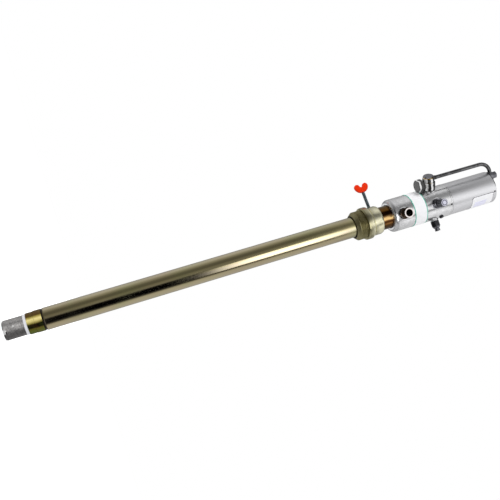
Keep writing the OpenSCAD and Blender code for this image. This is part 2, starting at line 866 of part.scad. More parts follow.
// The cast motor body with its bosses, chambers, ports, valve bore and cylinder socket
module motor_body() {
    color([0.8, 0.8, 0.8])
        difference() {
            union() {
                body_shell();
                at_port(outlet_angle, outlet_z)
                    cylinder(d = outlet_af + 4, h = outlet_boss_r);
                at_port(exhaust_angle, port_z)
                    cylinder(d = silencer_af + 5, h = port_boss_r);
                at_port(transfer_angle, port_z)
                    cylinder(d = transfer_od - 1, h = port_boss_r);
                at_port(inlet_angle, port_z)
                    cylinder(d = inlet_af + 0.5, h = inlet_boss_r);
            }
            body_bores();
            at_port(outlet_angle, outlet_z, chamber_d / 2 + 6)
                cylinder(d = outlet_thread_d, h = body_od);
            at_port(outlet_angle, outlet_z)
                cylinder(d = outlet_bore, h = body_od);
            for (a = [exhaust_angle, transfer_angle, inlet_angle])
                at_port(a, port_z, valve_r + valve_liner_d / 2 - 1)
                    cylinder(d = port_d, h = body_od);
            rotate([0, 0, transfer_angle])
                translate([valve_r, 0, liner_wall_z])
                    cylinder(d = valve_liner_d + 2 * fit_gap, h = body_od);
            at_port(gallery_angle, gallery_z, body_r - 9)
                cylinder(d = gallery_plug_d - 2 + 2 * fit_gap, h = body_od);
            at_port(gallery_angle, gallery_z, gallery_seat_r)
                cylinder(d = gallery_plug_d + 2 * fit_gap, h = body_od);
            at_port(set_screw_angle, body_screw_z, cylinder_bore / 2)
                cylinder(d = set_screw_d + 2 * fit_gap, h = body_od);
            rotate([0, 0, slot_angle])
                translate([recess_d / 2 - cut, -4.5, body_z + slot_h - 0.8])
                    cube([body_od, 9, 1.6]);
        }
}

// The turned outside of the motor body, rounded at its foot and grooved below its top
module body_shell() {
    groove_z = body_h - 3.6;
    translate([0, 0, body_z])
        rotate_extrude()
            polygon(concat(
                [[0, 0]],
                arc([body_r - body_round_r, body_round_h], body_round_r, body_round_h, -90, 0),
                [
                    [body_r, groove_z - 0.5],
                    [body_r - 0.5, groove_z],
                    [body_r, groove_z + 0.5],
                    [body_r, body_h - edge],
                    [body_r - edge, body_h],
                    [0, body_h]
                ]
            ));
}

// The turned bores on the motor body's axis, from the collar's recess up to the cylinder's socket
module body_bores() {
    rod_bore = piston_rod_d + 2 * free_gap;
    translate([0, 0, body_z - cut])
        cylinder(d = recess_d, h = collar_inset + cut);
    translate([0, 0, collar_shoulder_z - cut])
        cylinder(d = collar_thread_d + 2 * fit_gap, h = chamber_z - collar_shoulder_z + cut);
    translate([0, 0, chamber_z - cut])
        cylinder(d = chamber_d, h = chamber_h + cut);
    translate([0, 0, gland_z - cut])
        cylinder(d = gland_bore, h = gland_h + cut);
    translate([0, 0, gland_z + 0.8])
        cylinder(d = gland_bore + 2, h = clip_t + 0.2);
    translate([0, 0, gland_top_z - cut])
        cylinder(d = rod_bore, h = body_top_z - gland_top_z + 2 * cut);
    translate([0, 0, floor_z])
        cylinder(d = cylinder_thread_d + 2 * fit_gap, h = socket_depth + cut);
}
clip_t = 1.2;

// The bronze bush that guides the piston rod
module gland_bush() {
    z = gland_z + 0.8 + clip_t + 0.2;
    color([0.72, 0.5, 0.25])
        translate([0, 0, z])
            ring(gland_bore - 2 * fit_gap, piston_rod_d + 2 * run_gap, gland_top_z - packing_h - z);
}
packing_h = 6;

// The two rod seals over the gland bush
module rod_packing() {
    ring_h = packing_h / 2;
    color([0.15, 0.15, 0.15])
        for (i = [0, 1])
            translate([0, 0, gland_top_z - packing_h + i * ring_h])
                difference() {
                    ring(gland_bore - 2 * fit_gap, piston_rod_d + 2 * run_gap, ring_h - 0.1);
                    translate([0, 0, -cut])
                        ring(gland_bore - 4, piston_rod_d + 4, cut + 1);
                }
}

// The snap ring that holds the gland in, open over a sixth of its turn
module gland_clip() {
    gap = 60;
    color([0.35, 0.35, 0.36])
        translate([0, 0, gland_z + 0.9])
            rotate([0, 0, gap / 2])
                rotate_extrude(angle = 360 - gap)
                    translate([gland_bore / 2 - 2.5, 0])
                        square([3.3, clip_t]);
}

// The piston rod, turned down for the coupling below and for the air piston above
module piston_rod() {
    shoulder = coupling_z + coupling_h;
    color([0.82, 0.82, 0.84])
        union() {
            translate([0, 0, coupling_z + coupling_h / 2])
                cylinder(d = rod_thread_d, h = shoulder - coupling_z - coupling_h / 2);
            translate([0, 0, shoulder])
                cylinder(d = piston_rod_d, h = air_piston_z - shoulder);
            translate([0, 0, air_piston_z])
                cylinder(d = rod_thread_d, h = rod_top_z - air_piston_z);
        }
}

// The air piston with its seal groove and a cushion groove in each face
module air_piston() {
    d = cylinder_bore - 0.8;
    color([0.78, 0.78, 0.8])
        translate([0, 0, air_piston_z])
            difference() {
                bevelled(d, air_piston_h, 1);
                translate([0, 0, -cut])
                    cylinder(d = rod_thread_d + 2 * fit_gap, h = air_piston_h + 2 * cut);
                translate([0, 0, (air_piston_h - air_seal_h) / 2])
                    ring(d + 2 * cut, air_seal_id, air_seal_h);
                translate([0, 0, air_piston_h - 3])
                    ring(d - 14, piston_nut_af / cos(30) + 4, 3 + cut);
            }
}
air_seal_h = 5;
air_seal_id = cylinder_bore - 9;

// The air piston's seal
module air_piston_seal() {
    color([0.12, 0.12, 0.12])
        translate([0, 0, air_piston_z + (air_piston_h - air_seal_h) / 2])
            ring(cylinder_bore - 2 * run_gap, air_seal_id, air_seal_h);
}

// The nut over the air piston
module piston_nut() {
    color([0.7, 0.7, 0.7])
        translate([0, 0, piston_nut_z])
            difference() {
                hexagon(piston_nut_af, piston_nut_h);
                translate([0, 0, -cut])
                    cylinder(d = rod_thread_d + 2 * fit_gap, h = piston_nut_h + 2 * cut);
            }
}

// The air cylinder: a tube with a turned lower end, a seat for the cap and a set screw hole
module air_cylinder() {
    or = cylinder_od / 2;
    thread_r = cylinder_thread_d / 2;
    color([0.72, 0.72, 0.73])
        difference() {
            rotate_extrude()
                polygon([
                    [cylinder_bore / 2, floor_z],
                    [thread_r, floor_z],
                    [thread_r, body_top_z],
                    [or - edge, body_top_z],
                    [or, body_top_z + edge],
                    [or, top_z - edge],
                    [or - edge, top_z],
                    [cap_d / 2 + fit_gap, top_z],
                    [cap_d / 2 + fit_gap, cap_z],
                    [cylinder_bore / 2, cap_z]
                ]);
            at_port(set_screw_angle, cap_screw_z, cylinder_bore / 2)
                cylinder(d = set_screw_d + 2 * fit_gap, h = cylinder_od);
            at_port(set_screw_angle, body_screw_z, cylinder_thread_d / 2 - 0.8)
                cylinder(d = set_screw_d + 2 * fit_gap, h = cylinder_od);
        }
}

// The cylinder cap with its port, two spanner holes and the groove for its seal
module cylinder_cap() {
    color([0.76, 0.76, 0.77])
        difference() {
            translate([0, 0, cap_z])
                bevelled(cap_d, cap_h, 0.5);
            translate([0, 0, cap_z + cap_seal_h])
                ring(cap_d + 2 * cut, cap_d - 2 * cap_seal_d, cap_seal_d);
            rotate([0, 0, transfer_angle])
                translate([cap_port_r, 0, cap_z - cut])
                    cylinder(d = cap_bolt_d + 2 * fit_gap, h = cap_h + 2 * cut);
            for (a = [transfer_angle - 90, transfer_angle + 90])
                rotate([0, 0, a])
                    translate([20, 0, top_z - 5])
                        cylinder(d = 5, h = 5 + cut);
            at_port(set_screw_angle, cap_screw_z, cap_d / 2 - 0.8)
                cylinder(d = set_screw_d + 2 * fit_gap, h = cylinder_od);
        }
}
cap_seal_d = 1.8;
cap_seal_h = 2.5;

// The O-ring in the cap's groove
module cap_seal() {
    color([0.12, 0.12, 0.12])
        o_ring(cap_d, cap_seal_d - fit_gap, cap_z + cap_seal_h + cap_seal_d / 2);
}

// The two set screws: one locks the cylinder in the body, the other locks the cap
module set_screws() {
    color([0.15, 0.15, 0.15])
        for (place = [[body_screw_z, cylinder_thread_d / 2, body_r], [cap_screw_z, cap_d / 2, cylinder_od / 2]])
            at_port(set_screw_angle, place[0], place[1] - 0.7)
                difference() {
                    cylinder(d = set_screw_d, h = place[2] - place[1] + 0.4);
                    translate([0, 0, place[2] - place[1] - 0.6])
                        cylinder(d = set_screw_d / 2, h = 2, $fn = 6);
                }
}

// The valve's liner, with three rows of port holes
module valve_liner() {
    color([0.7, 0.68, 0.55])
        rotate([0, 0, transfer_angle])
            translate([valve_r, 0, liner_wall_z])
                difference() {
                    ring(valve_liner_d, spool_d + 2 * run_gap, valve_liner_h);
                    for (row = [1, 2, 3], a = [0 : 90 : 270])
                        rotate([0, 0, a])
                            translate([0, 0, row * valve_liner_h / 4])
                                rotate([0, 90, 0])
                                    cylinder(d = 3.2, h = valve_liner_d);
                }
}

// The spool: three lands on a stem, each with a groove for its seal
module valve_spool() {
    color([0.8, 0.8, 0.82])
        rotate([0, 0, transfer_angle])
            translate([valve_r, 0, spool_z])
                difference() {
                    cylinder(d = spool_d - 0.4, h = spool_h);
                    for (i = [0, 1])
                        translate([0, 0, spool_land_h + i * spool_pitch])
                            ring(spool_d + 2 * cut, spool_d / 2, spool_pitch - spool_land_h);
                    for (i = [0 : 2])
                        translate([0, 0, spool_seal_z(i)])
                            ring(spool_d + 2 * cut, spool_d - 3, spool_seal_h);
                }
}
spool_land_h = 6;
spool_pitch = (spool_h - spool_land_h) / 2;
spool_seal_h = 2;

// Height of a spool seal over the spool's foot
function spool_seal_z(i) = i * spool_pitch + (spool_land_h - spool_seal_h) / 2;

// The three seals on the spool's lands
module valve_seals() {
    color([0.12, 0.12, 0.12])
        rotate([0, 0, transfer_angle])
            translate([valve_r, 0, spool_z])
                for (i = [0 : 2])
                    translate([0, 0, spool_seal_z(i)])
                        ring(spool_d, spool_d - 3, spool_seal_h);
}

// The plug that closes the valve's bore, with a hexagon socket
module valve_plug() {
    color([0.6, 0.6, 0.6])
        rotate([0, 0, transfer_angle])
            translate([valve_r, 0, valve_plug_z])
                difference() {
                    cylinder(d = valve_liner_d, h = valve_plug_h - 0.3);
                    translate([0, 0, valve_plug_h - 3])
                        cylinder(d = 8 / cos(30), h = 3 + cut, $fn = 6);
                }
}

// The fluid outlet: a threaded nipple with a hexagon
module outlet_nipple() {
    hex_r = outlet_boss_r + washer_t;
    root_r = chamber_d / 2 + 6 + 0.5;
    thread_r = outlet_thread_d / 2;
    color([0.3, 0.26, 0.2])
        at_port(outlet_angle, outlet_z)
            difference() {
                union() {
                    rotate_extrude()
                        polygon([
                            [0, root_r],
                            [thread_r - fit_gap, root_r],
                            [thread_r - fit_gap, hex_r + 1],
                            [thread_r, hex_r + 1],
                            [thread_r, outlet_end_r - 1.2],
                            [thread_r - 1.2, outlet_end_r],
                            [0, outlet_end_r]
                        ]);
                    translate([0, 0, hex_r])
                        rotate([0, 0, 30])
                            hexagon(outlet_af, outlet_hex_h);
                }
                translate([0, 0, root_r - cut])
                    cylinder(d = outlet_bore, h = outlet_end_r - root_r + 2 * cut);
                translate([0, 0, outlet_end_r - 1])
                    cylinder(d1 = outlet_bore, d2 = outlet_bore + 2 * (1 + cut), h = 1 + cut);
            }
}

// The sealing washer under the outlet's hexagon
module outlet_washer() {
    color([0.2, 0.2, 0.2])
        at_port(outlet_angle, outlet_z, outlet_boss_r)
            ring(outlet_af + 1.6, outlet_thread_d, washer_t);
}

// The silencer's base: its thread, a flange and a hexagon
module silencer_base() {
    root_r = valve_r + valve_liner_d / 2;
    color([0.6, 0.6, 0.62])
        at_port(exhaust_angle, port_z)
            difference() {
                union() {
                    translate([0, 0, root_r])
                        cylinder(d = port_d - 2 * fit_gap, h = silencer_foot_r - root_r);
                    translate([0, 0, port_boss_r])
                        cylinder(d = silencer_af + 3, h = washer_t);
                    translate([0, 0, silencer_foot_r])
                        hexagon(silencer_af, silencer_hex_h);
                }
                translate([0, 0, root_r - cut])
                    cylinder(d = 8, h = silencer_cap_r - root_r + 2 * cut);
            }
}

// The silencer's cap, with slots round its side and a shallow dished end
module silencer_cap() {
    h = silencer_end_r - silencer_cap_r;
    color([0.7, 0.7, 0.74])
        at_port(exhaust_angle, port_z, silencer_cap_r)
            difference() {
                bevelled(silencer_cap_d, h, 1);
                translate([0, 0, -cut])
                    cylinder(d = 8, h = h - 3 + cut);
                for (a = [0 : 60 : 300])
                    rotate([0, 0, a])
                        translate([silencer_cap_d / 2 - 2.5, -0.8, 2])
                            cube([silencer_cap_d, 1.6, h - 5]);
                translate([0, 0, h - 0.7])
                    ring(silencer_cap_d - 4, silencer_cap_d - 6.5, 0.7 + cut);
            }
}

// The inlet's hexagon bush
module inlet_bush() {
    root_r = valve_r + valve_liner_d / 2;
    color([0.2, 0.2, 0.2])
        at_port(inlet_angle, port_z)
            difference() {
                union() {
                    translate([0, 0, root_r])
                        cylinder(d = port_d - 2 * fit_gap, h = inlet_boss_r - root_r);
                    translate([0, 0, inlet_boss_r])
                        hexagon(inlet_af, inlet_hex_h);
                }
                translate([0, 0, root_r - cut])
                    cylinder(d = 6, h = inlet_boss_r + inlet_hex_h - root_r + 2 * cut);
            }
}

// The inlet's nipple: a tapered shank, a locking groove and a straight tip
module inlet_nipple() {
    foot_r = inlet_boss_r + inlet_hex_h;
    h = inlet_end_r - foot_r;
    base = inlet_af / 2 - 0.7;
    tip = nipple_tip_d / 2;
    color([0.75, 0.75, 0.77])
        at_port(inlet_angle, port_z, foot_r)
            difference() {
                rotate_extrude()
                    polygon([
                        [0, 0],
                        [base, 0],
                        [base, 1],
                        [tip + 0.4, h - nipple_tip_h - 1.2],
                        [tip - 1, h - nipple_tip_h - 0.8],
                        [tip - 1, h - nipple_tip_h],
                        [tip, h - nipple_tip_h],
                        [tip, h],
                        [0, h]
                    ]);
                translate([0, 0, -cut])
                    cylinder(d = 5, h = h + 2 * cut);
            }
}

// The slotted plug that closes the drilled gallery
module gallery_plug() {
    thread_h = 8.52;
    color([0.25, 0.25, 0.26])
        at_port(gallery_angle, gallery_z, gallery_seat_r - thread_h)
            difference() {
                union() {
                    cylinder(d = gallery_plug_d - 2, h = thread_h + 0.48);
                    translate([0, 0, thread_h])
                        bevelled(gallery_plug_d, 2.8, 0.5);
                }
                translate([-gallery_plug_d, -0.6, thread_h + 1.78])
                    cube([2 * gallery_plug_d, 1.2, 2]);
            }
}

// The dark washer under the transfer adapter
module transfer_washer() {
    color([0.1, 0.1, 0.1])
        at_port(transfer_angle, port_z, port_boss_r)
            ring(transfer_od - 2, port_d, washer_t);
}

// The chromed adapter of the transfer pipe, bored for the banjo bolt and for the side plug
module transfer_adapter() {
    root_r = valve_r + valve_liner_d / 2;
    color([0.8, 0.8, 0.82])
        difference() {
            at_port(transfer_angle, port_z)
                union() {
                    translate([0, 0, root_r])
                        cylinder(d = port_d - 2 * fit_gap, h = transfer_foot_r - root_r);
                    translate([0, 0, transfer_foot_r])
                        bevelled(transfer_od, transfer_h, 1);
                }
            at_port(transfer_angle, port_z, transfer_top_r - bolt_shank_h)
                cylinder(d = bolt_d + 2 * fit_gap, h = bolt_shank_h + cut);
            rotate([0, 0, transfer_angle])
                translate([side_plug_r, 0, side_plug_top_z - cut])
                    cylinder(d = side_stub_d + 2 * fit_gap, h = side_stub_h + cut);
        }
}
bolt_shank_h = 9;
side_stub_d = 8;
side_stub_h = 6;

// The hexagon plug in the side of the transfer adapter, on the foot's side
module side_plug() {
    color([0.78, 0.78, 0.8])
        rotate([0, 0, transfer_angle])
            translate([side_plug_r, 0, side_plug_top_z])
                union() {
                    translate([0, 0, -side_plug_h / 2])
                        cylinder(d = side_stub_d, h = side_plug_h / 2 + side_stub_h - 0.3);
                    translate([0, 0, -side_plug_h])
                        rotate([0, 0, 30])
                            hexagon(side_plug_af, side_plug_h, 2);
                }
}

// The lower banjo: an eye with the sleeve that holds the pipe
module transfer_banjo() {
    color([0.78, 0.62, 0.3])
        difference() {
            union() {
                at_port(transfer_angle, port_z, eye_r)
                    cylinder(d = eye_od, h = eye_h);
                rotate([0, 0, transfer_angle])
                    translate([pipe_r, 0, sleeve_z])
                        cylinder(d = sleeve_d, h = sleeve_h);
            }
            at_port(transfer_angle, port_z, eye_r - cut)
                cylinder(d = bolt_d + 2 * fit_gap, h = eye_h + 2 * cut);
            rotate([0, 0, transfer_angle])
                translate([pipe_r, 0, pipe_z])
                    cylinder(d = pipe_d + 2 * fit_gap, h = sleeve_h);
        }
}

// The soft metal washers on both sides of each banjo eye
module sealing_washers() {
    color([0.82, 0.6, 0.22])
        union() {
            for (r = [transfer_top_r, eye_top_r])
                at_port(transfer_angle, port_z, r)
                    ring(eye_od - 4, bolt_d + 2 * fit_gap, seal_washer_t);
            for (z = [top_z, cap_bolt_head_z - seal_washer_t])
                rotate([0, 0, transfer_angle])
                    translate([cap_port_r, 0, z])
                        ring(cap_eye_od - 5, cap_bolt_d + 2 * fit_gap, seal_washer_t);
        }
}

// The lower banjo bolt
module banjo_bolt() {
    shank_r = transfer_top_r - bolt_shank_h + 0.5;
    color([0.85, 0.85, 0.87])
        at_port(transfer_angle, port_z)
            union() {
                translate([0, 0, shank_r])
                    cylinder(d = bolt_d, h = bolt_head_r - shank_r);
                translate([0, 0, bolt_head_r])
                    rotate([0, 0, 30])
                        hexagon(bolt_af, bolt_head_h, 1.4);
            }
}

// The pipe's path at the given diameter: straight up, then bent in over the cap
module pipe_path(d, overrun = 0, turn = 0) {
    straight = bend_z - pipe_z + overrun;
    rotate([0, 0, transfer_angle])
        translate([bend_r, 0, bend_z])
            union() {
                translate([pipe_bend_r, 0, -straight])
                    cylinder(d = d, h = straight);
                rotate([90, 0, 0])
                    rotate_extrude(angle = pipe_bend + turn)
                        translate([pipe_bend_r, 0])
                            circle(d = d);
            }
}

// The chromed pipe that carries air from the motor body to the cylinder's cap
module transfer_pipe() {
    color([0.85, 0.85, 0.87])
        difference() {
            pipe_path(pipe_d);
            pipe_path(pipe_d - 2 * pipe_wall, cut, 2);
        }
}

// The cap's banjo eye, bored for the bolt and with a socket for the pipe's bent end
module cap_banjo() {
    color([0.8, 0.8, 0.82])
        difference() {
            rotate([0, 0, transfer_angle])
                translate([cap_port_r, 0, cap_eye_z])
                    bevelled(cap_eye_od, cap_eye_h, 0.8);
            rotate([0, 0, transfer_angle])
                translate([cap_port_r, 0, cap_eye_z - cut])
                    cylinder(d = cap_bolt_d + 2 * fit_gap, h = cap_eye_h + 2 * cut);
            pipe_path(pipe_d + 2 * fit_gap, 0, 0.5);
        }
}

// The cap's banjo bolt
module cap_bolt() {
    foot = cap_z + 1;
    color([0.62, 0.62, 0.64])
        rotate([0, 0, transfer_angle])
            translate([cap_port_r, 0, foot])
                union() {
                    cylinder(d = cap_bolt_d, h = cap_bolt_head_z - foot);
                    translate([0, 0, cap_bolt_head_z - foot])
                        hexagon(cap_bolt_af, cap_bolt_head_h, 1.2);
                }
}

// The label round the motor body
module band_label() {
    color([0.94, 0.94, 0.95])
        translate([0, 0, body_z + band_z])
            ring(body_od + 2 * (fit_gap + label_t), body_od + 2 * fit_gap, band_h);
}

// The label on the side of the air cylinder
module cylinder_label() {
    color([0.93, 0.93, 0.95])
        rotate([0, 0, set_screw_angle])
            translate([0, 0, top_z - plate_top_gap - plate_h])
                rotate_extrude(angle = plate_sweep)
                    translate([cylinder_od / 2 + fit_gap, 0])
                        square([label_t, plate_h]);
}

suction_foot();
suction_strainer();
strainer_pin();
foot_gasket();
lower_housing();
foot_valve_seat();
foot_valve_ball();
ball_stop_pin();
suction_tube();
pump_liner();
pump_piston();
pump_piston_seals();
pump_piston_seat();
pump_piston_ball();
pump_rod();
rod_coupling();
bung_adapter();
adapter_bush();
lock_stud();
wing_head();
tube_collar();
collar_gasket();
motor_body();
gland_bush();
rod_packing();
gland_clip();
piston_rod();
air_piston();
air_piston_seal();
piston_nut();
air_cylinder();
cylinder_cap();
cap_seal();
set_screws();
valve_liner();
valve_spool();
valve_seals();
valve_plug();
outlet_nipple();
outlet_washer();
silencer_base();
silencer_cap();
inlet_bush();
inlet_nipple();
gallery_plug();
transfer_washer();
transfer_adapter();
side_plug();
transfer_banjo();
sealing_washers();
banjo_bolt();
transfer_pipe();
cap_banjo();
cap_bolt();
band_label();
cylinder_label();
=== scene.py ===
"""Dresses the pneumatic drum pump: finishes, threads and labels, with a plain studio round it.

Every piece is in metres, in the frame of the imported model. +Z runs up the pump's axis, and the origin is the
centre of the bung adapter's seat on the drum.
"""

import json
import math

import bpy
from mathutils import Matrix, Vector


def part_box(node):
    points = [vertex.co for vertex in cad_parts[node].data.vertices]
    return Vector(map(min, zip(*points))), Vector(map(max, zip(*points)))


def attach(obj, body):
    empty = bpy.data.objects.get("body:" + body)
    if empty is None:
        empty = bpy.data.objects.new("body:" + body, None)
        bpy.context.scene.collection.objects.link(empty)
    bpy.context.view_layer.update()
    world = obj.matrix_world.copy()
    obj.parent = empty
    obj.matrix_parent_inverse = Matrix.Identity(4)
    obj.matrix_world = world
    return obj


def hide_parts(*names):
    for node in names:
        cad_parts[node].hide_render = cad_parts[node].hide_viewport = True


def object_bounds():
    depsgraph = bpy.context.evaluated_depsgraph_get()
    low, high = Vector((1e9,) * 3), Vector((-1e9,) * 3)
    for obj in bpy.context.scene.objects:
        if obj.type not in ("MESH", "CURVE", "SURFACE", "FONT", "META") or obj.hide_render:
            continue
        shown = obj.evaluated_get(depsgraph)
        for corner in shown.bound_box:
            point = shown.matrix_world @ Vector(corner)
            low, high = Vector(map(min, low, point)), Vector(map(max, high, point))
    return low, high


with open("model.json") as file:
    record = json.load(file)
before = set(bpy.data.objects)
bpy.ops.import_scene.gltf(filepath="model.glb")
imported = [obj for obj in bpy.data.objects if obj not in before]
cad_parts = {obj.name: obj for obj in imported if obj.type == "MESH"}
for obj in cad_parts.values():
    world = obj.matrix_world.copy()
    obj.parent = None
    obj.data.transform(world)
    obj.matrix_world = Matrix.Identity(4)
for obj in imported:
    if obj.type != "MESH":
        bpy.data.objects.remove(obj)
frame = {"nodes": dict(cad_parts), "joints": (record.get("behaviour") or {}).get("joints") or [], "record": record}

bl_info = {
    "name": "Pneumatic drum pump",
    "version": (1, 0, 0),
    "blender": (4, 5, 0),
    "location": "View3D > Sidebar > Pump",
    "description": "Builds the drum pump's threads, labels and finishes, and a studio to look at it in",
    "category": "Object",
}

CAD_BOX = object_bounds()
MM = 0.001
FULL_TURN = 2 * math.pi
SHARP_FROM = math.radians(32)


# Sizes and colours that a user would change


class PumpSizes(bpy.types.PropertyGroup):
    """Sizes of the pieces that the scene adds to the frame"""

    drum_pitch: bpy.props.FloatProperty(
        name="Drum thread pitch", description="Distance between two turns of the adapter's drum thread",
        default=2.309 * MM, unit="LENGTH")
    drum_depth: bpy.props.FloatProperty(
        name="Drum thread depth", description="Radial depth of the adapter's drum thread",
        default=1.2 * MM, unit="LENGTH")
    outlet_pitch: bpy.props.FloatProperty(
        name="Outlet thread pitch", description="Distance between two turns of the outlet's thread",
        default=1.814 * MM, unit="LENGTH")
    outlet_depth: bpy.props.FloatProperty(
        name="Outlet thread depth", description="Radial depth of the outlet's thread",
        default=1.0 * MM, unit="LENGTH")
    stud_pitch: bpy.props.FloatProperty(
        name="Lock screw pitch", description="Distance between two turns of the lock screw's thread",
        default=1.0 * MM, unit="LENGTH")
    label_round: bpy.props.FloatProperty(
        name="Label corner", description="Radius of the cylinder label's corners",
        default=1.5 * MM, unit="LENGTH")
    label_slant: bpy.props.FloatProperty(
        name="Label slant", description="How far the corner of the cylinder's label is cut back",
        default=3.5 * MM, unit="LENGTH")


class PumpColours(bpy.types.PropertyGroup):
    """Colours of the pump's finishes"""

    tube: bpy.props.FloatVectorProperty(
        name="Tube", description="Yellow passivated zinc of the suction tube", subtype="COLOR",
        size=4, default=(0.7, 0.62, 0.44, 1), min=0, max=1)
    adapter: bpy.props.FloatVectorProperty(
        name="Adapter", description="Olive passivated zinc of the bung adapter", subtype="COLOR",
        size=4, default=(0.46, 0.42, 0.22, 1), min=0, max=1)
    collar: bpy.props.FloatVectorProperty(
        name="Collar", description="Gold and copper zinc of the collar", subtype="COLOR",
        size=4, default=(0.72, 0.48, 0.2, 1), min=0, max=1)
    body: bpy.props.FloatVectorProperty(
        name="Motor body", description="Bead-blasted aluminium of the motor body", subtype="COLOR",
        size=4, default=(0.8, 0.8, 0.81, 1), min=0, max=1)
    cylinder: bpy.props.FloatVectorProperty(
        name="Air cylinder", description="Satin aluminium of the air cylinder", subtype="COLOR",
        size=4, default=(0.76, 0.76, 0.78, 1), min=0, max=1)
    foot: bpy.props.FloatVectorProperty(
        name="Foot", description="Grey casting of the suction foot", subtype="COLOR",
        size=4, default=(0.3, 0.29, 0.285, 1), min=0, max=1)
    wing: bpy.props.FloatVectorProperty(
        name="Wing", description="Orange-red plastic of the lock screw's wing", subtype="COLOR",
        size=4, default=(0.78, 0.03, 0.001, 1), min=0, max=1)
    chrome: bpy.props.FloatVectorProperty(
        name="Chrome", description="Chromed fittings and air pipe", subtype="COLOR",
        size=4, default=(0.62, 0.62, 0.64, 1), min=0, max=1)
    label: bpy.props.FloatVectorProperty(
        name="Label", description="White film of both labels", subtype="COLOR",
        size=4, default=(0.86, 0.86, 0.88, 1), min=0, max=1)
    label_edge: bpy.props.FloatVectorProperty(
        name="Label edge", description="Green border of the band label", subtype="COLOR",
        size=4, default=(0.05, 0.42, 0.3, 1), min=0, max=1)


# Building meshes


def new_object(name, points, faces, material, smooth=True):
    """A mesh object from points in metres. A smooth one keeps edges that turn by more than SHARP_FROM."""
    mesh = bpy.data.meshes.new(name)
    mesh.from_pydata(points, [], faces)
    mesh.validate()
    made = bpy.data.objects.new(name, mesh)
    bpy.context.scene.collection.objects.link(made)
    mesh.materials.append(material)
    mesh.update()
    if smooth:
        mesh.shade_smooth()
        mesh.set_sharp_from_angle(angle=SHARP_FROM)
    return made


def skin_faces(steps, rows):
    """Faces over a ring of steps profiles with rows points each."""
    faces = []
    for step in range(steps):
        after = (step + 1) % steps
        for row in range(rows):
            up = (row + 1) % rows
            faces.append((step * rows + row, after * rows + row, after * rows + up, step * rows + up))
    return faces


def revolve(profile, steps, place, thread=None):
    """Points and faces of a closed profile, (radius, height) pairs, turned about place's Z axis.

    thread is a function of radius, height and turn that gives the radius at that point.
    """
    points = []
    for step in range(steps):
        turn = step / steps
        angle = turn * FULL_TURN
        for radius, height in profile:
            r = thread(radius, height, turn) if thread else radius
            points.append(place @ Vector((r * math.cos(angle), r * math.sin(angle), height)))
    return points, skin_faces(steps, len(profile))


def straight(radius, low, high, rows):
    """A straight flank in rows short steps, so that a thread can be cut into it."""
    return [(radius, low + (high - low) * i / rows) for i in range(rows + 1)]


def join_parts(parts):
    """One list of points and one of faces from several such pairs."""
    points, faces = [], []
    for part_points, part_faces in parts:
        start = len(points)
        points += part_points
        faces += [tuple(start + i for i in face) for face in part_faces]
    return points, faces


def thread_wave(turns):
    """Height of a thread's vee, from 0 on its flat root to 1 on its flat crest, at that many turns."""
    flank = abs((turns % 1) - 0.5) * 2
    return min(1, max(0, 1.35 * flank - 0.12))


def port_place(angle, height):
    """A frame whose Z axis leaves the pump's axis at that angle and height, with X pointing down."""
    turn = Matrix.Rotation(math.radians(angle), 4, "Z")
    tilt = Matrix.Rotation(math.radians(90), 4, "Y")
    return Matrix.Translation((0, 0, height)) @ turn @ tilt


def hexagon_solid(flats, low, high, bore, place):
    """A hexagon with a bore and with its corners turned off at both ends."""
    corner = flats / math.cos(math.radians(30))
    steps = 72
    drop = (corner - flats) / 2 * 0.6
    end_radius = flats / 2 * 0.985
    points = []
    for step in range(steps):
        angle = step / steps * FULL_TURN
        flat = flats / 2 / math.cos((angle % (FULL_TURN / 6)) - FULL_TURN / 12)
        eased = min(flat, corner / 2)
        over = (flat - flats / 2) / (corner - flats) * 2
        level = drop * over
        profile = ((bore, low), (end_radius, low), (eased, low + level), (eased, high - level),
                   (end_radius, high), (bore, high))
        points += [place @ Vector((r * math.cos(angle), r * math.sin(angle), z)) for r, z in profile]
    return points, skin_faces(steps, len(profile))


# Nodes, and the node groups that several finishes share


def put(tree, kind, inputs=None, **settings):
    """A node of that kind, with its settings and its inputs, each a value or a socket to link."""
    made = tree.nodes.new(kind)
    for name, value in settings.items():
        setattr(made, name, value)
    for name, value in (inputs or {}).items():
        if isinstance(value, bpy.types.NodeSocket):
            tree.links.new(value, made.inputs[name])
        else:
            made.inputs[name].default_value = value
    return made


def math_node(tree, operation, first, second, clamp=False):
    """The result of one arithmetic step."""
    made = put(tree, "ShaderNodeMath", {0: first, 1: second}, operation=operation, use_clamp=clamp)
    return made.outputs[0]


def vector_node(tree, operation, first, second):
    """The node of one step with vectors."""
    return put(tree, "ShaderNodeVectorMath", {0: first, 1: second}, operation=operation)


def noise(tree, where, scale, detail, **more):
    """A noise texture. More inputs are given by their names."""
    return put(tree, "ShaderNodeTexNoise", {"Vector": where, "Scale": scale, "Detail": detail, **more})


def span(tree, value, low, high, from_low=0.0, from_high=1.0, **settings):
    """The value, moved from one range to another."""
    ends = {"From Min": from_low, "From Max": from_high, "To Min": low, "To Max": high}
    return put(tree, "ShaderNodeMapRange", {"Value": value, **ends}, **settings).outputs["Result"]


def mix(tree, factor, first, second, kind="RGBA", **settings):
    """A mix of two colours, or of two numbers where kind is FLOAT."""
    made = put(tree, "ShaderNodeMix", {"Factor": factor, "A": first, "B": second}, data_type=kind, **settings)
    return made.outputs["Result"]


def part_of(tree, where, axis="Z"):
    """One coordinate of a place, by default its height above the seat."""
    return put(tree, "ShaderNodeSeparateXYZ", {"Vector": where}).outputs[axis]


def height_mask(tree, where, low, high):
    """1 where the height above the seat lies between low and high, and 0 elsewhere."""
    height = part_of(tree, where)
    return math_node(tree, "MULTIPLY", math_node(tree, "GREATER_THAN", height, low),
                     math_node(tree, "LESS_THAN", height, high))


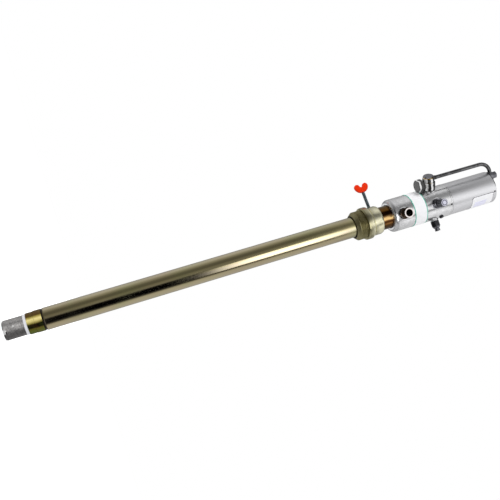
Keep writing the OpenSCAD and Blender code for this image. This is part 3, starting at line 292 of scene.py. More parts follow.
def new_group(name, takes, gives):
    """An empty node group with the named sockets, and its input and output nodes."""
    tree = bpy.data.node_groups.new(name, "ShaderNodeTree")
    for label, kind, default in takes:
        socket = tree.interface.new_socket(label, in_out="INPUT", socket_type=kind)
        if default is not None:
            socket.default_value = default
    for label, kind in gives:
        tree.interface.new_socket(label, in_out="OUTPUT", socket_type=kind)
    return tree, tree.nodes.new("NodeGroupInput").outputs, tree.nodes.new("NodeGroupOutput").inputs


def grain_group():
    """Grain of a blasted or cast surface: a height for its pits and a mask for its lighter specks."""
    tree, given, out = new_group(
        "Blasted grain",
        [("Vector", "NodeSocketVector", None), ("Grains per metre", "NodeSocketFloat", 900.0)],
        [("Height", "NodeSocketFloat"), ("Specks", "NodeSocketFloat")])
    fine = noise(tree, given["Vector"], given["Grains per metre"], 3.0, Roughness=0.6)
    wide = noise(tree, given["Vector"], math_node(tree, "MULTIPLY", given["Grains per metre"], 0.22), 2.0)
    height = mix(tree, 0.35, fine.outputs["Fac"], wide.outputs["Fac"], "FLOAT")
    tree.links.new(height, out["Height"])
    tree.links.new(span(tree, height, 0.0, 1.0, 0.4, 0.62), out["Specks"])
    return tree


def turned_group():
    """Fine rings left by a lathe or a belt round the pump's axis: their height, and a mask of them."""
    tree, given, out = new_group(
        "Turned rings",
        [("Vector", "NodeSocketVector", None), ("Rings per metre", "NodeSocketFloat", 1500.0)],
        [("Height", "NodeSocketFloat"), ("Rings", "NodeSocketFloat")])
    drawn_out = vector_node(tree, "MULTIPLY", given["Vector"], (0.02, 0.02, 1.0)).outputs["Vector"]
    rings = noise(tree, drawn_out, given["Rings per metre"], 4.0, Roughness=0.7).outputs["Fac"]
    tree.links.new(rings, out["Height"])
    tree.links.new(span(tree, rings, 0.0, 1.0, 0.35, 0.65), out["Rings"])
    return tree


def stain_group():
    """Cloudy colour of passivated zinc: a first and a second tint wander over the ground colour."""
    tree, given, out = new_group(
        "Passivation clouds",
        [("Vector", "NodeSocketVector", None), ("Clouds per metre", "NodeSocketFloat", 40.0),
         ("Ground", "NodeSocketColor", (0.6, 0.55, 0.4, 1)),
         ("First tint", "NodeSocketColor", (0.5, 0.6, 0.3, 1)), ("First amount", "NodeSocketFloat", 0.5),
         ("Second tint", "NodeSocketColor", (0.6, 0.4, 0.35, 1)), ("Second amount", "NodeSocketFloat", 0.5)],
        [("Color", "NodeSocketColor"), ("Clouds", "NodeSocketFloat")])
    moved = vector_node(tree, "ADD", given["Vector"], (0.31, 0.17, 0.43)).outputs["Vector"]
    first = noise(tree, given["Vector"], given["Clouds per metre"], 4.0, Distortion=0.6).outputs["Fac"]
    second = noise(tree, moved, given["Clouds per metre"], 5.0, Distortion=1.0).outputs["Fac"]
    colour = given["Ground"]
    for cloud, which in ((first, "First"), (second, "Second")):
        mask = span(tree, cloud, 0.0, 1.0, 0.45, 0.62)
        amount = math_node(tree, "MULTIPLY", mask, given[which + " amount"], clamp=True)
        colour = mix(tree, amount, colour, given[which + " tint"])
    tree.links.new(colour, out["Color"])
    tree.links.new(first, out["Clouds"])
    return tree


def side_group():
    """How far round the axis a point lies: 0.5 towards the camera, more towards the picture's top."""
    toward, upward = view_directions()
    tree, given, out = new_group(
        "Side of the axis", [("Vector", "NodeSocketVector", None)], [("Turn", "NodeSocketFloat")])
    ahead, above = (vector_node(tree, "DOT_PRODUCT", given["Vector"], tuple(way)).outputs["Value"]
                    for way in (toward, upward))
    angle = math_node(tree, "ARCTAN2", above, ahead)
    tree.links.new(span(tree, angle, 0.0, 1.0, -math.pi, math.pi), out["Turn"])
    return tree


GROUP_BUILDERS = {"grain": grain_group, "turned": turned_group, "stain": stain_group, "side": side_group}
GROUPS = {}


def shared(tree, name, inputs):
    """The outputs of one of the shared node groups, placed in a material with its own values."""
    if name not in GROUPS:
        GROUPS[name] = GROUP_BUILDERS[name]()
    return put(tree, "ShaderNodeGroup", inputs, node_tree=GROUPS[name]).outputs


# Finishes


GRAIN_DEPTH_ADAPTER = 0.03 * MM
GRAIN_DEPTH_FOOT = 0.2 * MM
GRAIN_DEPTH_BODY = 0.08 * MM
RING_DEPTH = 0.02 * MM
CYLINDER_RING_DEPTH = 0.03 * MM
FILM_DEPTH = 0.02 * MM


def ground(name, **sockets):
    """A new material with a Principled shader, its constants, and the object's own coordinates."""
    material = bpy.data.materials.new(name)
    material.use_nodes = True
    tree = material.node_tree
    shader = tree.nodes["Principled BSDF"].inputs
    for label, value in sockets.items():
        shader[label.replace("_", " ")].default_value = value
    where = put(tree, "ShaderNodeTexCoord").outputs["Object"]
    return material, tree, shader, where


def coat(tree, shader, colour, roughness=None):
    """Link the shader's colour, and its roughness where one is given."""
    tree.links.new(colour, shader["Base Color"])
    if roughness:
        tree.links.new(roughness, shader["Roughness"])


def raise_by(tree, shader, height, depth):
    """Bump of the given depth in metres."""
    bump = put(tree, "ShaderNodeBump", {"Height": height, "Strength": 1.0, "Distance": depth})
    tree.links.new(bump.outputs["Normal"], shader["Normal"])


def grainy(tree, shader, where, grains, depth):
    """A blasted or cast grain. Returns the mask of its lighter specks."""
    pits = shared(tree, "grain", {"Vector": where, "Grains per metre": grains})
    raise_by(tree, shader, pits["Height"], depth)
    return pits["Specks"]


def ringed(tree, shader, where, rings, depth=RING_DEPTH):
    """Turned rings. Returns their mask."""
    turned = shared(tree, "turned", {"Vector": where, "Rings per metre": rings})
    raise_by(tree, shader, turned["Height"], depth)
    return turned["Rings"]


def clouded(tree, where, clouds, colour, tints, amounts):
    """A colour under passivation clouds. Returns the stained colour and the clouds alone."""
    stain = shared(tree, "stain", {
        "Vector": where, "Clouds per metre": clouds, "Ground": colour, "First tint": tints[0],
        "Second tint": tints[1], "First amount": amounts[0], "Second amount": amounts[1]})
    return stain["Color"], stain["Clouds"]


def shade(colour, factor=1.0):
    """The colour times a factor, as an opaque colour."""
    return (colour[0] * factor, colour[1] * factor, colour[2] * factor, 1)


def stepped(tree, factor, stops, low, high):
    """Colours by a factor of 0 to 1. Each stop is a place between low and high, and a colour or a grey."""
    ramp = put(tree, "ShaderNodeValToRGB", {"Fac": factor})
    points = ramp.color_ramp.elements
    while len(points) < len(stops):
        points.new(0.5)
    for point, (place, colour) in zip(points, stops):
        point.position = (place - low) / (high - low)
        point.color = (*colour[:3], 1) if isinstance(colour, tuple) else (colour, colour, colour, 1)
    return ramp.outputs["Color"]


def by_side(tree, where, stops):
    """Colours round the axis. A stop is degrees from the camera's side, upwards, and a colour or a grey.

    The bands that the finishes make with it stand in for reflections. Their stops were read across the
    photograph and then adjusted.
    """
    return stepped(tree, shared(tree, "side", {"Vector": where})["Turn"], stops, -180, 180)


def tube_zinc(colours):
    """The suction tube's pale gold zinc, with a painted reflection tint that yellows it on the camera's side."""
    material, tree, shader, where = ground("Tube zinc", Metallic=1.0)
    stained, clouds = clouded(tree, where, 9.0, shade(colours.tube),
                              ((0.6, 0.62, 0.38, 1), (0.66, 0.55, 0.42, 1)), (0.5, 0.5))
    # Painted reflection: yellower and paler bands round the axis, set from the camera's side.
    tint = by_side(tree, where, (
        (-70, (1.0, 1.0, 1.0)), (-30, (1.0, 0.97, 0.8)), (-14, (1.05, 1.04, 1.1)), (-2, (1.0, 0.98, 0.8)),
        (12, (1.0, 0.97, 0.7)), (32, (1.0, 0.97, 0.74)), (60, (1.0, 1.0, 1.0))))
    coat(tree, shader, mix(tree, 1.0, stained, tint, blend_type="MULTIPLY"),
         span(tree, clouds, 0.11, 0.25, 0.3, 0.7))
    ringed(tree, shader, where, 900.0)
    return material


def zinc_with_painted_reflections(name, stops, clouds, tints, roughness, metal, shade_painted_above=1.0):
    """Zinc with painted reflections in bands of colour along the piece, broken up by stain clouds, and painted
    shade above a height.
    """
    material, tree, shader, where = ground(name, Metallic=metal, Specular_IOR_Level=0.2)
    wander = noise(tree, where, clouds, 3.0).outputs["Color"]
    shift = vector_node(tree, "ADD", wander, (-0.5, -0.5, -0.5)).outputs["Vector"]
    small = put(tree, "ShaderNodeVectorMath", {0: shift, "Scale": 3 * MM}, operation="SCALE")
    moved = vector_node(tree, "ADD", where, small.outputs["Vector"]).outputs["Vector"]
    # Painted reflections: colour bands round the axis, set from the camera's side.
    bands = by_side(tree, moved, stops)
    stained, cloud = clouded(tree, where, clouds, bands, tints, (0.07, 0.07))
    # Painted shade: near black above the given height, for a gap that lies in shadow.
    edge = math_node(tree, "GREATER_THAN", part_of(tree, where), shade_painted_above)
    coat(tree, shader, mix(tree, edge, stained, (0.012, 0.009, 0.006, 1)),
         span(tree, cloud, roughness, roughness + 0.1, 0.3, 0.7))
    ringed(tree, shader, where, 900.0)
    return material


def housing_zinc():
    """The lower housing's zinc: brown, gold and green with red clouds, in bands of painted reflection with a dark
    band and a gold highlight, and painted shade at its top.
    """
    # Painted reflections round the axis, in degrees from the camera's side: a near black band below it and a gold
    # highlight just above.
    stops = (
        (-180, (0.4, 0.34, 0.14)), (-90, (0.08, 0.1, 0.02)), (-50, (0.1, 0.12, 0.015)),
        (-36, (0.12, 0.1, 0.012)), (-28, (0.006, 0.004, 0.001)), (-10, (0.004, 0.003, 0.001)),
        (-4, (0.3, 0.24, 0.06)), (8, (0.85, 0.72, 0.27)), (17, (1.0, 0.86, 0.36)), (27, (0.5, 0.4, 0.1)),
        (36, (0.1, 0.06, 0.015)), (60, (0.09, 0.05, 0.016)), (90, (0.16, 0.12, 0.05)),
        (180, (0.4, 0.34, 0.14)))
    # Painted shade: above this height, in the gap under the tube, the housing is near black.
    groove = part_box("suction_tube")[0].z - 2.6 * MM
    tints = ((0.16, 0.24, 0.03, 1), (0.28, 0.1, 0.03, 1))
    return zinc_with_painted_reflections("Housing zinc", stops, 70.0, tints, 0.2, 0.25, groove)


def collar_zinc(colours):
    """The collar's gold and copper zinc, with painted dark reflections and shade above and below a painted bright
    flank.
    """
    # Painted highlight: the bright flank just below the camera's side; the near black stops above and below it are
    # painted dark reflections and shade.
    bright = shade(colours.collar, 1.15)[:3]
    stops = (
        (-180, (0.4, 0.24, 0.1)), (-70, (0.06, 0.03, 0.01)), (-42, (0.1, 0.05, 0.014)),
        (-34, (0.34, 0.16, 0.05)), (-25, (0.1, 0.03, 0.006)), (-18, (0.24, 0.11, 0.04)), (-12, bright),
        (-3, bright), (4, (0.3, 0.16, 0.06)), (11, (0.02, 0.007, 0.002)), (28, (0.016, 0.004, 0.001)),
        (36, (0.16, 0.07, 0.012)), (60, (0.14, 0.08, 0.02)), (80, (0.2, 0.16, 0.09)),
        (180, (0.4, 0.24, 0.1)))
    tints = ((0.3, 0.1, 0.03, 1), (0.07, 0.035, 0.015, 1))
    return zinc_with_painted_reflections("Collar zinc", stops, 90.0, tints, 0.16, 0.95)


def adapter_zinc(colours):
    """The adapter's olive zinc: dark and dull on the thread, paler and brighter on the flange and the neck."""
    material, tree, shader, where = ground("Adapter zinc", Metallic=1.0)
    height = part_of(tree, where)
    upper = span(tree, height, 0.0, 1.0, 0.0, 13 * MM)
    plain = mix(tree, upper, shade(colours.adapter, 0.75), (0.8, 0.77, 0.56, 1))
    tints = ((0.72, 0.68, 0.46, 1), (0.26, 0.22, 0.1, 1))
    stained, clouds = clouded(tree, where, 60.0, plain, tints, (0.2, 0.22))
    polish = span(tree, height, 0.46, 0.2, -2 * MM, 2 * MM)
    coat(tree, shader, stained, math_node(tree, "ADD", polish, span(tree, clouds, -0.04, 0.06, 0.3, 0.7)))
    grainy(tree, shader, where, 700.0, GRAIN_DEPTH_ADAPTER)
    return material


def cast_foot(colours):
    """Rough grey casting with dark pits, with painted shade below and a painted highlight, and painted shade that
    turns it nearly black inside its mouth.
    """
    wall = 2.2 * MM
    material, tree, shader, where = ground("Foot casting", Metallic=0.25)
    specks = grainy(tree, shader, where, 420.0, GRAIN_DEPTH_FOOT)
    grey = mix(tree, specks, shade(colours.foot, 0.95), shade(colours.foot, 2.0))
    # Painted shade and highlight round the axis: darker below, brightest just above the camera's side.
    side = by_side(tree, where, (
        (-180, 0.8), (-80, 0.4), (-35, 0.24), (-14, 0.42), (-3, 0.85), (4, 0.85), (11, 1.1), (18, 0.95),
        (30, 0.6), (38, 0.72), (50, 0.85), (70, 0.6), (180, 0.8)))
    # Painted shade: within the wall, inside the mouth, the casting is painted nearly black.
    squares = [math_node(tree, "POWER", part_of(tree, where, axis), 2.0) for axis in "XY"]
    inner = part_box("suction_foot")[1].x - wall
    skin = math_node(tree, "GREATER_THAN", math_node(tree, "ADD", *squares), inner ** 2)
    grain_with_painted_light = mix(tree, 1.0, grey, side, blend_type="MULTIPLY")
    coat(tree, shader, mix(tree, skin, (0.012, 0.012, 0.012, 1), grain_with_painted_light), span(tree, specks, 0.55, 0.4))
    return material


def blasted_aluminium(colours):
    """Bead-blasted casting: bright, with a fine sandy grain."""
    material, tree, shader, where = ground("Blasted aluminium", Metallic=0.9)
    specks = grainy(tree, shader, where, 520.0, GRAIN_DEPTH_BODY)
    coat(tree, shader, mix(tree, specks, shade(colours.body, 0.8), shade(colours.body)),
         span(tree, specks, 0.26, 0.18))
    return material


def satin_aluminium(colours):
    """Drawn and belt-finished aluminium with faint rings, and painted shade on the upper part of the cylinder's
    end.
    """
    painted_shade_rim_height = 2.2 * MM
    material, tree, shader, where = ground("Satin aluminium", Metallic=1.0)
    rings = ringed(tree, shader, where, 1400.0, CYLINDER_RING_DEPTH)
    satin = mix(tree, rings, shade(colours.cylinder, 0.95), shade(colours.cylinder))
    # Painted shade: the top few millimetres of the cylinder are painted nearly black on their upper side.
    rim = height_mask(tree, where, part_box("air_cylinder")[1].z - painted_shade_rim_height, 1.0)
    upper = by_side(tree, where, ((-180, 0.0), (-10, 0.0), (6, 1.0), (70, 1.0), (90, 0.0), (180, 0.0)))
    coat(tree, shader, mix(tree, math_node(tree, "MULTIPLY", rim, upper), satin, (0.03, 0.03, 0.035, 1)),
         span(tree, rings, 0.4, 0.34))
    return material


def turned_metal(name, colour, roughness, rings=1200.0, depth=RING_DEPTH):
    """A turned metal with fine rings and a slight change of tone."""
    material, tree, shader, where = ground(name, Metallic=1.0)
    mask = ringed(tree, shader, where, rings, depth)
    coat(tree, shader, mix(tree, mask, shade(colour, 0.88), shade(colour)),
         span(tree, mask, roughness + 0.05, roughness))
    return material


def polished_chrome(colours, name="Polished chrome", level=1.0, dark=0.05):
    """Polished chrome with painted reflections in dark and bright blotches. Its colour darkens towards its outline
    as a painted dark reflection.
    """
    material, tree, shader, where = ground(name, Metallic=1.0)
    # Painted reflections: noise blotches of near black and bright chrome.
    painted_reflection_patches = noise(tree, where, 95.0, 1.0, Distortion=0.4).outputs["Fac"]
    painted_reflection_mask = span(tree, painted_reflection_patches, 0.0, 1.0, 0.44, 0.52)
    tone = mix(tree, painted_reflection_mask, shade(colours.chrome, dark * level), shade(colours.chrome, 1.6 * level))
    # Painted dark reflection: the colour darkens where the surface turns away from the view.
    side = put(tree, "ShaderNodeLayerWeight", {"Blend": 0.5})
    edge = span(tree, side.outputs["Facing"], 0.0, 1.0, 0.34, 0.62)
    coat(tree, shader, mix(tree, edge, tone, shade(colours.chrome, 0.05)),
         span(tree, painted_reflection_patches, 0.05, 0.12, 0.3, 0.7))
    return material


def banded_chrome(name, stops):
    """Chrome with black and bright bands that stand in for reflections.

    Each stop is millimetres above the seat, and a grey.
    """
    waver = 1.5 * MM
    first, last = stops[0][0], stops[-1][0]
    material, tree, shader, where = ground(name, Metallic=0.45, Roughness=0.16)
    waves = noise(tree, where, 160.0, 1.0).outputs["Fac"]
    height = math_node(tree, "ADD", part_of(tree, where), span(tree, waves, -waver, waver))
    along = span(tree, height, 0.0, 1.0, first * MM, last * MM)
    coat(tree, shader, stepped(tree, along, stops, first, last))
    return material


def silencer_end():
    """The silencer's cap: dark round its side, and pale on its face, with a darker ring."""
    low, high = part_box("silencer_cap")
    radius = (high.z - low.z) / 2
    face_depth = 0.6 * MM
    material, tree, shader, where = ground("Silencer end", Metallic=0.6)
    face = math_node(tree, "LESS_THAN", part_of(tree, where, "Y"), low.y + face_depth)
    offset = vector_node(tree, "ADD", where, (0, 0, -(low.z + high.z) / 2)).outputs["Vector"]
    flat = vector_node(tree, "MULTIPLY", offset, (1, 0, 1)).outputs["Vector"]
    reach = put(tree, "ShaderNodeVectorMath", {0: flat}, operation="LENGTH").outputs["Value"]
    ring = math_node(tree, "MULTIPLY", math_node(tree, "GREATER_THAN", reach, 0.52 * radius),
                     math_node(tree, "LESS_THAN", reach, 0.72 * radius))
    pale = mix(tree, ring, (0.6, 0.6, 0.7, 1), (0.22, 0.22, 0.28, 1))
    rings = shared(tree, "turned", {"Vector": where, "Rings per metre": 900.0})["Rings"]
    coat(tree, shader, mix(tree, face, (0.08, 0.08, 0.09, 1), pale), span(tree, rings, 0.42, 0.34))
    return material


def moulded_plastic(name, colour, roughness, shine=0.5):
    """Moulded plastic with a soft, slightly uneven skin."""
    mould = 0.04 * MM
    material, tree, shader, where = ground(name, Metallic=0.0, Specular_IOR_Level=shine)
    skin = noise(tree, where, 260.0, 3.0).outputs["Fac"]
    coat(tree, shader, mix(tree, skin, shade(colour, 0.86), shade(colour)),
         span(tree, skin, roughness - 0.05, roughness + 0.1, 0.3, 0.7))
    raise_by(tree, shader, skin, mould)
    return material


def white_film(colours, name, roughness, dull, border=None):
    """A label's white film. border is the least and the greatest height that its green edges leave white."""
    material, tree, shader, where = ground(name, Roughness=roughness)
    skin = noise(tree, where, 180.0, 2.0).outputs["Fac"]
    film = mix(tree, skin, shade(colours.label, dull), shade(colours.label))
    if border:
        film = mix(tree, height_mask(tree, where, *border), shade(colours.label_edge), film)
    coat(tree, shader, film)
    raise_by(tree, shader, skin, FILM_DEPTH)
    return material


def band_film(colours):
    """The band label's white film, with a green border along each edge."""
    low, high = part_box("band_label")
    edge = 1.7 * MM
    return white_film(colours, "Band label film", 0.42, 0.93, (low.z + edge, high.z - edge))


# The places of these bands were measured in the photograph, and their greys were chosen.
# Painted reflections: each grey band stands in for what the chrome reflects.
FITTING_PAINTED_REFLECTIONS = (
    (142, 0.02), (145.5, 0.02), (146.7, 0.9), (149.7, 1.0), (151, 0.01), (155.5, 0.01), (156.7, 1.0),
    (160, 1.0), (161.2, 0.02), (176, 0.03),
)
PLUG_PAINTED_REFLECTIONS = (
    (129, 0.08), (130.6, 0.09), (131.2, 0.8), (133.5, 0.85), (134.5, 0.06), (143, 0.05), (148, 0.08),
)


def build_finishes(colours):
    """Every finish of the pump, by the record's material slot or by its own name."""
    return {
        "cast_grey": cast_foot(colours),
        "strainer_steel": turned_metal("Strainer steel", (0.6, 0.6, 0.58), 0.35),
        "pin_end": moulded_plastic("Sanded pin", (0.7, 0.7, 0.69), 0.5),
        "white_seal": moulded_plastic("White seal", (0.78, 0.79, 0.83), 0.45),
        "yellow_zinc": tube_zinc(colours),
        "housing_zinc": housing_zinc(),
        "copper_zinc": collar_zinc(colours),
        "olive_zinc": adapter_zinc(colours),
        "steel": turned_metal("Machined steel", (0.55, 0.55, 0.56), 0.3),
        "ball_steel": turned_metal("Ball steel", (0.8, 0.8, 0.82), 0.08, 200.0, 0.002 * MM),
        "piston_bronze": turned_metal("Bronze", (0.62, 0.43, 0.2), 0.3),
        "plated_rod": turned_metal("Plated rod", (0.78, 0.78, 0.8), 0.12, 2500.0, 0.005 * MM),
        "black_rubber": moulded_plastic("Black rubber", (0.02, 0.02, 0.02), 0.6),
        "stud_steel": turned_metal("Stud steel", (0.3, 0.36, 0.4), 0.32),
        "orange_plastic": moulded_plastic("Orange plastic", shade(colours.wing), 0.32, 0.12),
        "cast_aluminium": blasted_aluminium(colours),
        "drawn_aluminium": satin_aluminium(colours),
        "black_steel": turned_metal("Blackened steel", (0.05, 0.05, 0.055), 0.3),
        "dark_brass": turned_metal("Darkened brass", (0.07, 0.045, 0.03), 0.22),
        "nickel": turned_metal("Nickel plate", (0.2, 0.2, 0.22), 0.2),
        "bright_rim": turned_metal("Bright rim", (0.85, 0.8, 0.78), 0.3),
        "silencer_end": silencer_end(),
        "chrome": polished_chrome(colours),
        "pipe_chrome": polished_chrome(colours, "Pipe chrome", 0.16, 0.9),
        "fitting_chrome": banded_chrome("Fitting chrome", FITTING_PAINTED_REFLECTIONS),
        "plug_chrome": banded_chrome("Plug chrome", PLUG_PAINTED_REFLECTIONS),
        "brass": turned_metal("Bright brass", (0.8, 0.52, 0.14), 0.16),
        "label_white": band_film(colours),
        "plate_film": white_film(colours, "Cylinder label film", 0.4, 0.95),
        "label_ink": moulded_plastic("Pale label ink", (0.78, 0.78, 0.93), 0.45),
        "label_line": moulded_plastic("Label line", (0.07, 0.06, 0.08), 0.45),
    }


FINISHES = {}


def finish(name):
    """One of the pump's finishes. All of them are made when the first is asked for."""
    if not FINISHES:
        FINISHES.update(build_finishes(bpy.context.scene.pump_colours))
    return FINISHES[name]


# Pieces


# Nodes whose finish differs from the one of their material slot
OWN_FINISH = {
    "lower_housing": "housing_zinc", "transfer_pipe": "pipe_chrome", "silencer_cap": "silencer_end",
    "strainer_pin": "pin_end", "transfer_adapter": "fitting_chrome", "transfer_banjo": "fitting_chrome",
    "side_plug": "plug_chrome", "banjo_bolt": "nickel",
}


def named(rows, name):
    """The row of that name in one of the frame's lists."""
    return next(row for row in rows if row["name"] == name)


def reach_along(node, out):
    """The least and the greatest distance of a node's points along a direction."""
    reach = [Vector(v.co).dot(out) for v in frame["nodes"][node].data.vertices]
    return min(reach), max(reach)


class PUMP_OT_dress_nodes(bpy.types.Operator):
    """Give each part of the frame its finish"""

    bl_idname = "pump.dress_nodes"
    bl_label = "Finish the frame's parts"

    def execute(self, context):
        for part in frame["record"]["subparts"]:
            node = frame["nodes"][part["node"]]
            node.data.materials.clear()
            node.data.materials.append(finish(OWN_FINISH.get(part["node"], part["material_slot"])))
        return {"FINISHED"}


class PUMP_OT_adapter(bpy.types.Operator):
    """Build the bung adapter with its drum thread"""

    bl_idname = "pump.adapter"
    bl_label = "Bung adapter"

    def execute(self, context):
        sizes = context.scene.pump_sizes
        low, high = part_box("bung_adapter")
        thread = named(frame["record"]["mounts"], "bung_thread")["dims"]
        crest = thread["r_mm"] * MM
        thread_foot = -thread["length_mm"] * MM
        undercut, undercut_from = 1.5 * MM, -1.6 * MM
        run_in, run_out, run_out_end = 2 * MM, 1.5 * MM, -0.5 * MM
        bush_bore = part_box("adapter_bush")[1].x + 0.05 * MM
        bush_top = low.z + 32 * MM
        tube_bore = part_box("suction_tube")[1].x + 0.4 * MM
        flange, flange_top = high.x, 15.5 * MM
        fillet = 2.5 * MM
        foot_rise = 3 * MM
        head_drop, head_rise = 4.5 * MM, 3.2 * MM
        neck = 30 * MM
        groove = neck - 1.1 * MM
        head_corner = [(flange - fillet * (1 - math.cos(a)), flange_top - head_drop + head_rise * math.sin(a))
                       for a in (math.radians(18 * i) for i in range(5))]
        foot_corner = [(flange - fillet * (1 - math.cos(a)), foot_rise - foot_rise * math.sin(a))
                       for a in (math.radians(90 - 18 * i) for i in range(6))]
        outline = [
            (bush_bore, low.z), (bush_bore + 0.4 * MM, low.z), *straight(crest, thread_foot, 0, 60),
            *foot_corner, *head_corner,
            (groove, flange_top - 0.3 * MM), (groove, flange_top + 0.9 * MM),
            (neck, flange_top + 1.5 * MM), (neck, high.z - 4 * MM),
            (neck - 1.4 * MM, high.z - 0.6 * MM), (neck - 2.2 * MM, high.z), (tube_bore, high.z),
            (tube_bore, bush_top), (bush_bore, bush_top),
        ]

        def cut_thread(radius, height, turn):
            if radius != crest:
                return radius
            if height > undercut_from:
                return crest - undercut
            fade = min(1, (height - thread_foot) / run_in, (run_out_end - height) / run_out)
            return crest - sizes.drum_depth * max(0, fade) * thread_wave(height / sizes.drum_pitch - turn)

        points, faces = revolve(outline, 160, Matrix.Identity(4), cut_thread)
        adapter = new_object("adapter_casting", points, faces, finish("olive_zinc"))
        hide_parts("bung_adapter")
        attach(adapter, "adapter")
        return {"FINISHED"}


class PUMP_OT_lock_screw(bpy.types.Operator):
    """Build the lock screw's threaded stud and its two-lobed wing"""

    bl_idname = "pump.lock_screw"
    bl_label = "Lock screw"

    def execute(self, context):
        joint = named(frame["joints"], "wing_turn")
        out = Vector(joint["axis"]).normalized()
        height = joint["pos_m"][2]
        place = port_place(math.degrees(math.atan2(out.y, out.x)), height)
        self.build_stud(context.scene.pump_sizes, place, out)
        self.build_wing(place, height, out)
        return {"FINISHED"}

    def build_stud(self, sizes, place, out):
        """The stud, with a thread from behind its plain dog point to its end."""
        core = 0.02 * MM
        thread_depth = 0.55 * MM
        tip, end = reach_along("lock_stud", out)
        low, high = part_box("lock_stud")
        radius = (high.z - low.z) / 2
        neck = radius - 1 * MM
        start = tip + 3 * MM
        outline = [(core, tip), (neck, tip), (neck, start - 0.6 * MM), *straight(radius, start, end, 260),
                   (core, end)]

        def cut_thread(r, along, turn):
            if r != radius:
                return r
            return radius - thread_depth * thread_wave(along / sizes.stud_pitch - turn)

        points, faces = revolve(outline, 40, place, cut_thread)
        stud = new_object("lock_stud_thread", points, faces, finish("stud_steel"))
        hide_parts("lock_stud")
        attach(stud, "lock_stud")

    def build_wing(self, place, height, out):
        """A round hub and a flat heart of two thick lobes, with their edges rounded by a bevel."""
        core = 0.05 * MM
        foot, top = reach_along("wing_head", out)
        half = max(v.co.z for v in frame["nodes"]["wing_head"].data.vertices) - height
        lobe = 6 * MM
        half_thick = 3 * MM
        notch_depth = 1.2 * MM
        steps = 12
        rise = top - lobe
        belly = rise - foot
        right = [Vector((half * math.sin(turn), rise - belly * math.cos(turn)))
                 for turn in (math.pi / 2 * i / steps for i in range(steps + 1))]
        right += [Vector((half - lobe + lobe * math.cos(turn), rise + lobe * math.sin(turn)))
                  for turn in (math.pi * i / steps for i in range(1, steps + 1))]
        left = [Vector((-p.x, p.y)) for p in reversed(right[1:])]
        loop = right + [Vector((0, rise - notch_depth))] + left
        points = [place @ Vector((-p.x, y, p.y)) for y in (-half_thick, half_thick) for p in loop]
        count = len(loop)
        faces = [tuple(range(count)), tuple(range(2 * count - 1, count - 1, -1))]
        faces += [(i, i + count, (i + 1) % count + count, (i + 1) % count) for i in range(count)]
        heart = new_object("wing_handle", points, faces, finish("orange_plastic"))
        rounding = heart.modifiers.new("Rounding", "BEVEL")
        rounding.width = 1.5 * MM
        rounding.segments = 4
        rounding.limit_method = "ANGLE"
        rounding.angle_limit = math.radians(50)
        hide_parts("wing_head")
        hub = 4.6 * MM
        outline = [(core, foot), (hub - 1.4 * MM, foot), (hub, foot + 1.6 * MM), (hub, foot + 6 * MM),
                   (hub - 1.8 * MM, foot + 8 * MM), (core, foot + 9 * MM)]
        boss = new_object("wing_boss", *revolve(outline, 40, place), finish("orange_plastic"))
        for piece in (heart, boss):
            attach(piece, "lock_wing")


class PUMP_OT_outlet(bpy.types.Operator):
    """Build the outlet nipple with its thread and its chamfered hexagon"""

    bl_idname = "pump.outlet"
    bl_label = "Fluid outlet"

    def execute(self, context):
        sizes = context.scene.pump_sizes
        mount = named(frame["record"]["mounts"], "outlet_thread")
        radius = mount["dims"]["r_mm"] * MM
        low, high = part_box("outlet_nipple")
        root, end = -high.y, -low.y
        flats, hex_low, hex_high = 22 * MM, 37.5 * MM, 45.5 * MM
        bore = 6.75 * MM
        steps = 96
        start, stop = hex_high + 0.6 * MM, end - 1.2 * MM
        run_in = 1.5 * MM
        place = port_place(270, mount["pos_m"][2])
        outline = [(bore, root), (radius, root), (radius, hex_low), (radius - 0.4 * MM, hex_high),
                   *straight(radius, start, stop, 90),
                   (radius - 0.5 * MM, end), (bore + 0.4 * MM, end), (bore, end - 0.4 * MM)]

        def cut_thread(r, along, turn):
            if r != radius or not start <= along <= stop:
                return r
            fade = min(1, (along - start) / run_in)
            return radius - sizes.outlet_depth * fade * thread_wave(along / sizes.outlet_pitch - turn)

        parts = [revolve(outline, steps, place, cut_thread),
                 hexagon_solid(flats, hex_low, hex_high, bore + 2 * MM, place)]
        nipple = new_object("outlet_thread", *join_parts(parts), finish("dark_brass"))
        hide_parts("outlet_nipple")
        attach(nipple, "pump")
        inner, outer = bore + 0.9 * MM, radius - 0.3 * MM
        under, over = end - 0.05 * MM, end + 0.02 * MM
        ring = [(inner, under), (outer, under), (outer, over), (inner, over)]
        face = new_object("outlet_end_face", *revolve(ring, steps, place), finish("bright_rim"))
        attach(face, "pump")
        return {"FINISHED"}


